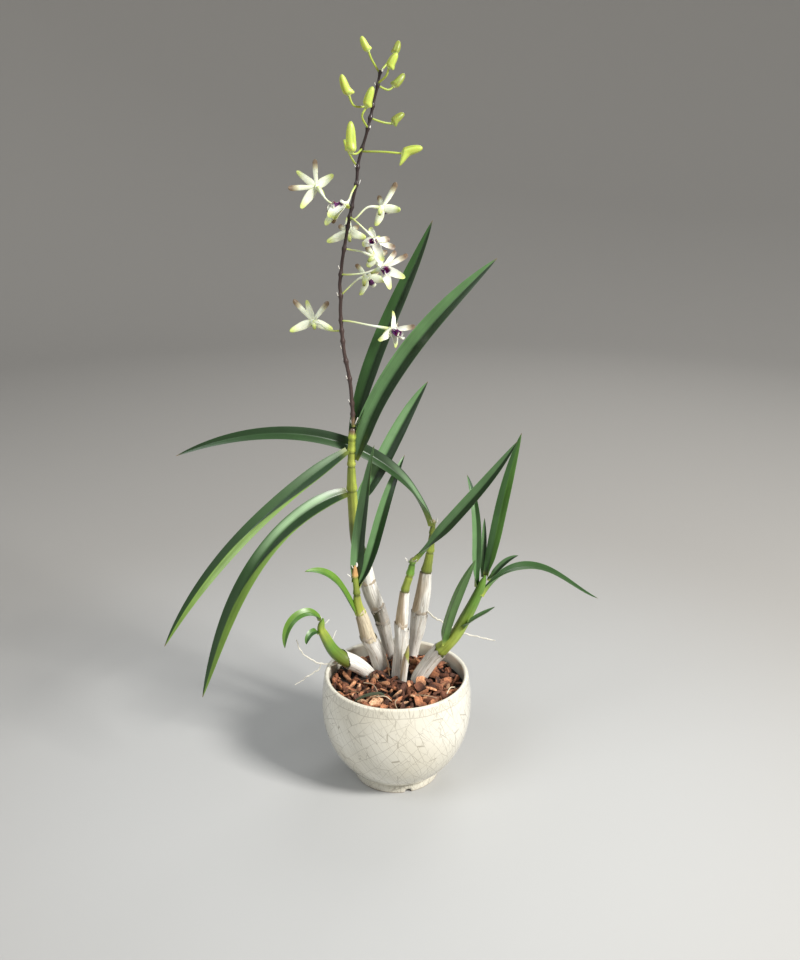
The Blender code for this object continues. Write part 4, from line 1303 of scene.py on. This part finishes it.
# Flowers: where the stalk leaves the stem, points along the stalk, the middle, then as the
# viewer sees them from the middle: the way the flower faces, and the tips of the back sepal,
# the two petals, the two side sepals, the lip and the spur
FLOWERS = {
    "flower_left_high": (
        468, [(-49, 27, 471)], (-58.5, 34, 481.5), (-0.35, 0.2, 0.9),
        (-15, 11, -3), [(-1, 20, -2), (-21, -2, -4)], [(12, 10, 3), (-12, -16, 0)],
        (-4, -2, 9), (5, -6, 2),
    ),
    "flower_hanging": (
        484, [(-32, 15, 479), (-34, 13, 474)], (-37, 11, 471), (-0.5, 0.3, -0.8),
        (-14, -15, 2), [(-13, -4, 5), (-9, -13, 4)], [(-11, -11, -4), (-7, -12, -3)],
        (-12, -4, 3), (3, -3, -3),
    ),
    "flower_right_high": (
        460, [(-30, 19, 460), (-21, 20, 468)], (-11, 22, 467.5), (0.45, 0.1, 0.88),
        (4, 5, 14), [(11, 18, -3), (-2.5, 11, 8)], [(14, -2.5, -4), (-4.5, -12.5, 3)],
        (5, -2, 8), (-1, -6, -3),
    ),
    "flower_behind": (
        454, [(-36, 33, 449)], (-36, 42, 448), (0.0, 0.1, 1.0),
        (-1, 13, 6), [(-8, 7, 8), (7, 7, 9)], [(-17, -7, 3), (13, -4, 3)],
        (0, -3, 9), (1, -8, -2),
    ),
    "flower_middle": (
        461, [(-29, 16, 458), (-22, 13, 452)], (-15.5, 11, 445.5), (-0.35, -0.1, -0.93),
        (-3, 10, 3), [(11, 1, 2), (15, -5, 4)], [(6.5, -16, -2), (-9, -3, 4)],
        (-2, -5, -6), (3, 4, 6),
    ),
    "flower_front": (
        419, [(-33, 14, 420), (-22, 10, 422)], (-10.5, 6, 426), (0.35, -0.25, -0.9),
        (-6, 13, 4), [(19, 10, 0), (10, 13.5, 5)], [(6, -16, -1), (17, -7, 1)],
        (6, -5, -6), (-8, -3, 4),
    ),
    "flower_inner": (
        438, [(-33, 22, 437), (-25, 25, 435)], (-17, 28, 431), (0.3, 0.1, 0.9),
        (3, 11, 6), [(-6, 9, 5), (10, 6, 6)], [(-5, -7, 2), (7, -8, 3)],
        (2, -2, 8), (-4, -4, -2),
    ),
    "flower_low_middle": (
        403, [(-36, 20, 409), (-29, 22, 415)], (-23, 24, 416.5), (0.7, 0.0, 0.7),
        (2, 7, 12), [(-8, 10, 2), (9, 6, 10)], [(15, -3, -3), (-5, -13, 3)],
        (5, -7, 3), (-1, -7, -3),
    ),
    "flower_left_low": (
        376, [(-52, 30, 375), (-59, 34, 379)], (-64.5, 37, 380.5), (-0.12, 0.15, 0.97),
        (-5, 16.5, 0), [(-15, 16.5, -2), (12, 15.5, 1)], [(-18, -8, -1), (15, -6, 3)],
        (-1, -3, 9), (1.5, -6.5, -1),
    ),
    "flower_right_low": (
        384, [(-34, 18, 384), (-20, 14, 382)], (-4, 12, 379.5), (0.75, -0.2, -0.6),
        (1, 14.5, 5), [(5, 6, 13), (18, 2.5, 2)], [(-10, -9, -4), (3, -14, 2)],
        (8, -8, -5), (-6, -5, 2),
    ),
}
# A flower that has hardly opened has wider sepals for its size
FLOWER_FULLNESS = {"flower_hanging": 1.5}
SEPAL_WIDTH = 5.4
SIDE_SEPAL_WIDTH = 6.6
PETAL_WIDTH = 4.2
PETAL_THICK = 0.5
PETAL_BLUNT = 0.12  # share of a petal's length over which its tip is rounded
# Outlines: (width at the base, where it is widest, width at the tip), as shares
SEPAL_SHAPE = (0.5, 0.38, 0.42)
PETAL_SHAPE = (0.42, 0.78, 0.85)
LIP_SHAPE = (0.6, 0.6, 0.75)
SEPAL_STOPS = [(0.0, TIP_GREEN), (0.18, CREAM), (0.6, CREAM), (0.9, TIP_GREEN), (1.0, TIP_GREEN)]
PETAL_STOPS = [(0.0, CREAM), (0.58, CREAM), (0.72, TIP_PINK), (0.86, TIP_BROWN), (1.0, TIP_BROWN)]
LIP_STOPS = [(0.0, PURPLE), (0.66, PURPLE), (0.8, CREAM), (1.0, CREAM)]
LOBE_STOPS = [(0.0, PURPLE), (0.8, PURPLE), (1.0, CREAM)]


def petal_half(shares, width, outline):
    """Half widths of a petal, from its base to its widest and on to a blunt tip."""
    base, widest, tip = outline
    opening = base + (1 - base) * np.sin(np.minimum(shares / widest, 1.0) * math.pi / 2)
    closing = 1 - (1 - tip) * (np.maximum(shares - widest, 0.0) / (1 - widest)) ** 1.6
    near_tip = (shares - 1 + PETAL_BLUNT).clip(0.0, 0.995 * PETAL_BLUNT) / PETAL_BLUNT
    return width / 2 * opening * closing * np.sqrt(1 - near_tip ** 2)


def add_petal(shape, middle, tip, facing, width, outline, bow, wave, stops, seed):
    """A petal from the middle of the flower to its tip.

    bow is how far its line bends towards the front, and wave how far its edges ripple,
    both as shares of its length.
    """
    length = np.linalg.norm(tip)
    shares = 1 - (1 - np.linspace(0.0, 1.0, 26)) ** 1.25
    line = unit(tip)
    normal = unit(facing - line * facing.dot(line))
    points = (middle + facing * 0.4 + shares[:, None] * tip
              + normal * (bow * length * np.sin(math.pi * shares))[:, None])
    ahead = np.gradient(points, axis=0)
    ahead /= np.linalg.norm(ahead, axis=1)[:, None]
    sideways = np.cross(np.broadcast_to(normal, ahead.shape), ahead)
    sideways /= np.linalg.norm(sideways, axis=1)[:, None]
    twist = np.radians(30 * ripple(seed, 3.3)) * shares
    upward = np.cross(ahead, sideways)
    turned = sideways * np.cos(twist)[:, None] + upward * np.sin(twist)[:, None]
    upward = np.cross(ahead, turned)
    half = petal_half(shares, width, outline)
    across = np.linspace(-1.0, 1.0, 9)
    ripples = np.array([[ripple(seed + s * 4, a * 0.8, 7.1) for a in across] for s in shares])
    lift = half[:, None] * 0.34 * across ** 2 + wave * length * ripples * across ** 2
    thick = PETAL_THICK * (1.3 - 0.7 * across ** 2) * np.ones((len(shares), 1))
    tint = blend(stops, shares)[:, None] * (1 + 0.08 * ripples - 0.1 * np.exp(-(across / 0.15) ** 2))[
        ..., None]
    add_blade(shape, points, turned, upward, half, lift, thick, tint, tint * (0.96, 0.98, 0.86))


def add_lip(shape, middle, tip, facing, seed):
    """The lip: a frilled tongue, purple in its throat, with a lobe standing up on each side."""
    add_petal(shape, middle + facing * 1.5, tip, facing, 6.6, LIP_SHAPE, -0.12, 0.14, LIP_STOPS, seed)
    side = unit(np.cross(facing, tip))
    for sign in (-1, 1):
        lobe = tip * 0.55 + side * sign * 3.4 + facing * 3.0
        add_petal(shape, middle + facing, lobe, side * -sign, 4.6, LIP_SHAPE, 0.1, 0.12, LOBE_STOPS,
                  seed + 10 * sign)


def build_flower(name, row, stem, material):
    """Three sepals, two petals and a lip round a column, with a spur and the stalk behind."""
    height, bends, middle, facing, back_sepal, petals, side_sepals, lip, spur = row
    shape = Shape()
    middle = np.array(middle, float)
    facing = unit(from_view(*facing))
    seed = sum(map(ord, name)) * 0.37
    parts = [(back_sepal, SEPAL_WIDTH, SEPAL_SHAPE, 0.05, 0.02, SEPAL_STOPS)]
    parts += [(tip, PETAL_WIDTH, PETAL_SHAPE, 0.05, 0.02, PETAL_STOPS) for tip in petals]
    parts += [(tip, SIDE_SEPAL_WIDTH, SEPAL_SHAPE, 0.06, 0.03, SEPAL_STOPS) for tip in side_sepals]
    for number, (tip, width, *look) in enumerate(parts):
        width *= FLOWER_FULLNESS.get(name, 1.0)
        add_petal(shape, middle, from_view(*tip), facing, width, *look, seed + 20 * number)
    add_lip(shape, middle, from_view(*lip), facing, seed + 60)
    column = smooth_path([middle - facing, middle + facing * 2.5, middle + facing * 5], 4)
    plain_tube(shape, column, np.linspace(1.6, 1.1, len(column)), CREAM, 12)
    chin = from_view(*spur)
    spur_path = smooth_path([middle + facing * 0.5, middle + chin / 2 - facing * 0.6, middle + chin], 6)
    shares = np.linspace(0.0, 1.0, len(spur_path))
    spur_tint = blend([(0.0, CREAM), (0.6, TIP_GREEN), (1.0, OLIVE)], shares)
    plain_tube(shape, spur_path, 2.3 * (1 - 0.55 * shares), spur_tint, 14)
    stalk = smooth_path([stalk_start(stem, height), *bends, middle - facing * 1.2], 8)
    shares = np.linspace(0.0, 1.0, len(stalk))
    radii = STALK_RADIUS * (0.85 + 0.85 * ease(0.6, 1.0, shares))
    stalk_tint = blend([(0.0, LIME), (0.3, BUD_PALE), (0.8, CREAM), (1.0, TIP_GREEN)], shares)
    plain_tube(shape, stalk, radii, stalk_tint, 12)
    place_piece(shape, name, [material], sharp=60)


# Roots

# Side branches of the roots: points along the middle
BRANCHES = {
    "root_left": [(-63, 6, 98.2), (-66, 6, 92), (-74, 5, 87), (-80, 5, 82), (-85, 4, 79)],
}


def build_roots(material):
    for name, points in ROOTS.items():
        shape = Shape()
        for number, route in enumerate([points] + ([BRANCHES[name]] if name in BRANCHES else [])):
            path = evenly(smooth_path(route, 10), 1.0)
            wobble = np.array([[ripple(i * 0.3, k, number) + 0.5 * ripple(i * 0.9, k, number)
                                for k in (1.5, 4.5, 7.5)] for i in range(len(path))])
            ends = np.minimum(np.arange(len(path)), 8)[:, None] / 8
            path = path + wobble * ends * ROOT_WOBBLE
            knots = np.array([ripple(i * 0.25, 9.5, number) for i in range(len(path))])
            thin = ROOT_RADIUS * (0.75 if number else 1.0) * np.linspace(1.1, 0.6, len(path))
            plain_tube(shape, path, thin * (1 + 0.35 * knots), ROOT_WHITE, 10)
        place_piece(shape, name, [material])


# Stage

STAGE_RADIUS = 2600.0
STAGE_BEND = 900.0
STAGE_HEIGHT = 3200.0
FLOOR_TONE = (0.46, 0.465, 0.46)
WALL_TONE = (0.38, 0.37, 0.352)
# Painted pool of light: the floor is pale near the pot and darkens between these distances
LIGHT_POOL_REACH = (170.0, 620.0)  # the floor darkens between these distances from the pot


def build_stage():
    """A pale floor with a painted pool of light round the pot, darkening away from it, that curves up all
    round into a grey wall.
    """
    flat = STAGE_RADIUS - STAGE_BEND
    profile = [(1.0, 0.0), (400.0, 0.0), (flat, 0.0)]
    profile += [(flat + STAGE_BEND * math.sin(math.radians(a)),
                 STAGE_BEND * (1 - math.cos(math.radians(a)))) for a in range(6, 91, 6)]
    profile.append((STAGE_RADIUS, STAGE_HEIGHT))
    bowl = Shape()
    columns = 96
    angles = -np.arange(columns) * math.tau / columns
    rings = np.array([[(r * math.cos(a), r * math.sin(a), z) for a in angles] for r, z in profile])
    bowl.skin(rings, FLOOR_TONE, (0, 0, 0), ends=None)
    material, tree, shader = new_material("stage", 0.9)
    place = add_node(tree, "ShaderNodeTexCoord").outputs["Object"]
    reach = add_node(tree, "ShaderNodeVectorMath", {0: place}, operation="LENGTH").outputs["Value"]
    share = add_node(tree, "ShaderNodeMapRange", {
        "Value": reach, "From Min": LIGHT_POOL_REACH[0] * MM, "From Max": LIGHT_POOL_REACH[1] * MM,
        "To Min": 0.0, "To Max": 1.0,
    }, interpolation_type="SMOOTHSTEP").outputs["Result"]
    tree.links.new(add_mix(tree, share, (*FLOOR_TONE, 1), (*WALL_TONE, 1)),
                   shader.inputs["Base Color"])
    stage = bowl.build("stage", [material])


def add_light(name, place, size, power, colour):
    data = bpy.data.lights.new(name, "AREA")
    data.size = size * MM
    data.energy = power
    data.color = colour
    light = add_object(name, data)
    light.location = Vector(place) * MM
    aim = Vector(LIGHT_TARGET) - Vector(place)
    light.rotation_euler = aim.to_track_quat("-Z", "Y").to_euler()


LIGHT_TARGET = (0, 0, 260)
# Lights: (name, place, size, watts, colour)
LIGHTS = (
    ("key", (1150, -800, 1250), 420, 46, (1.0, 0.975, 0.94)),
    ("sheen", (-1000, -700, 1500), 900, 12, (0.94, 0.97, 1.0)),
    ("back", (500, 1300, 1400), 900, 8, (1.0, 0.99, 0.97)),
)
SKY_STRENGTH = 0.34


def add_lights():
    for row in LIGHTS:
        add_light(*row)
    world = bpy.data.worlds.new("soft_sky")
    world.use_nodes = True
    background = world.node_tree.nodes["Background"]
    background.inputs["Color"].default_value = (0.95, 0.97, 1.0, 1.0)
    background.inputs["Strength"].default_value = SKY_STRENGTH
    bpy.context.scene.world = world
    bpy.context.scene.view_settings.view_transform = "Standard"


def add_camera():
    data = bpy.data.cameras.new("camera")
    data.lens = LENS
    data.sensor_width = SENSOR
    camera = add_object("camera", data)
    camera.location = Vector(CAMERA_PLACE) * MM
    camera.rotation_euler = (math.radians(90 - CAMERA_PITCH), 0, 0)
    bpy.context.scene.camera = camera


def main():
    add_camera()
    build_stage()
    add_lights()
    paper = painted("paper_sheath", 0.72, 1.0, 0.05, 0.26, 0.16, patches=0.10, fibres=0.6)
    cane = painted("cane_skin", 0.42, 0.9, 0.05, 0.16, 0.05, patches=0.15, Coat_Weight=0.15)
    leaf = painted("leaf_blade", 0.40, 0.9, 0.012, 0.16, 0.03, patches=0.12, Coat_Weight=0.2,
                   Coat_Roughness=0.3)
    stem_skin = painted("stem_skin", 0.45, 1.2, 0.2, 0.3, 0.06, Coat_Weight=0.1)
    bud = painted("bud_skin", 0.42, 0.8, 0.08, 0.10, 0.03, Subsurface_Weight=0.12)
    petal = painted("petal_skin", 0.5, 1.1, 0.08, 0.08, 0.03, Subsurface_Weight=0.12)
    root = painted("root_skin", 0.85, 1.5, 0.5, 0.2, 0.12)
    canes = {name: Cane(rows) for name, rows in CANES.items()}
    build_pot()
    build_bark(canes)
    build_canes(canes, cane, paper)
    for name, row in LEAVES.items():
        build_leaf(name, row, canes, leaf)
    stem = stem_path()
    build_stem(stem, stem_skin, paper)
    for name, row in BUDS.items():
        build_bud(name, row, stem, bud)
    for name, row in FLOWERS.items():
        build_flower(name, row, stem, petal)
    build_roots(root)


main()
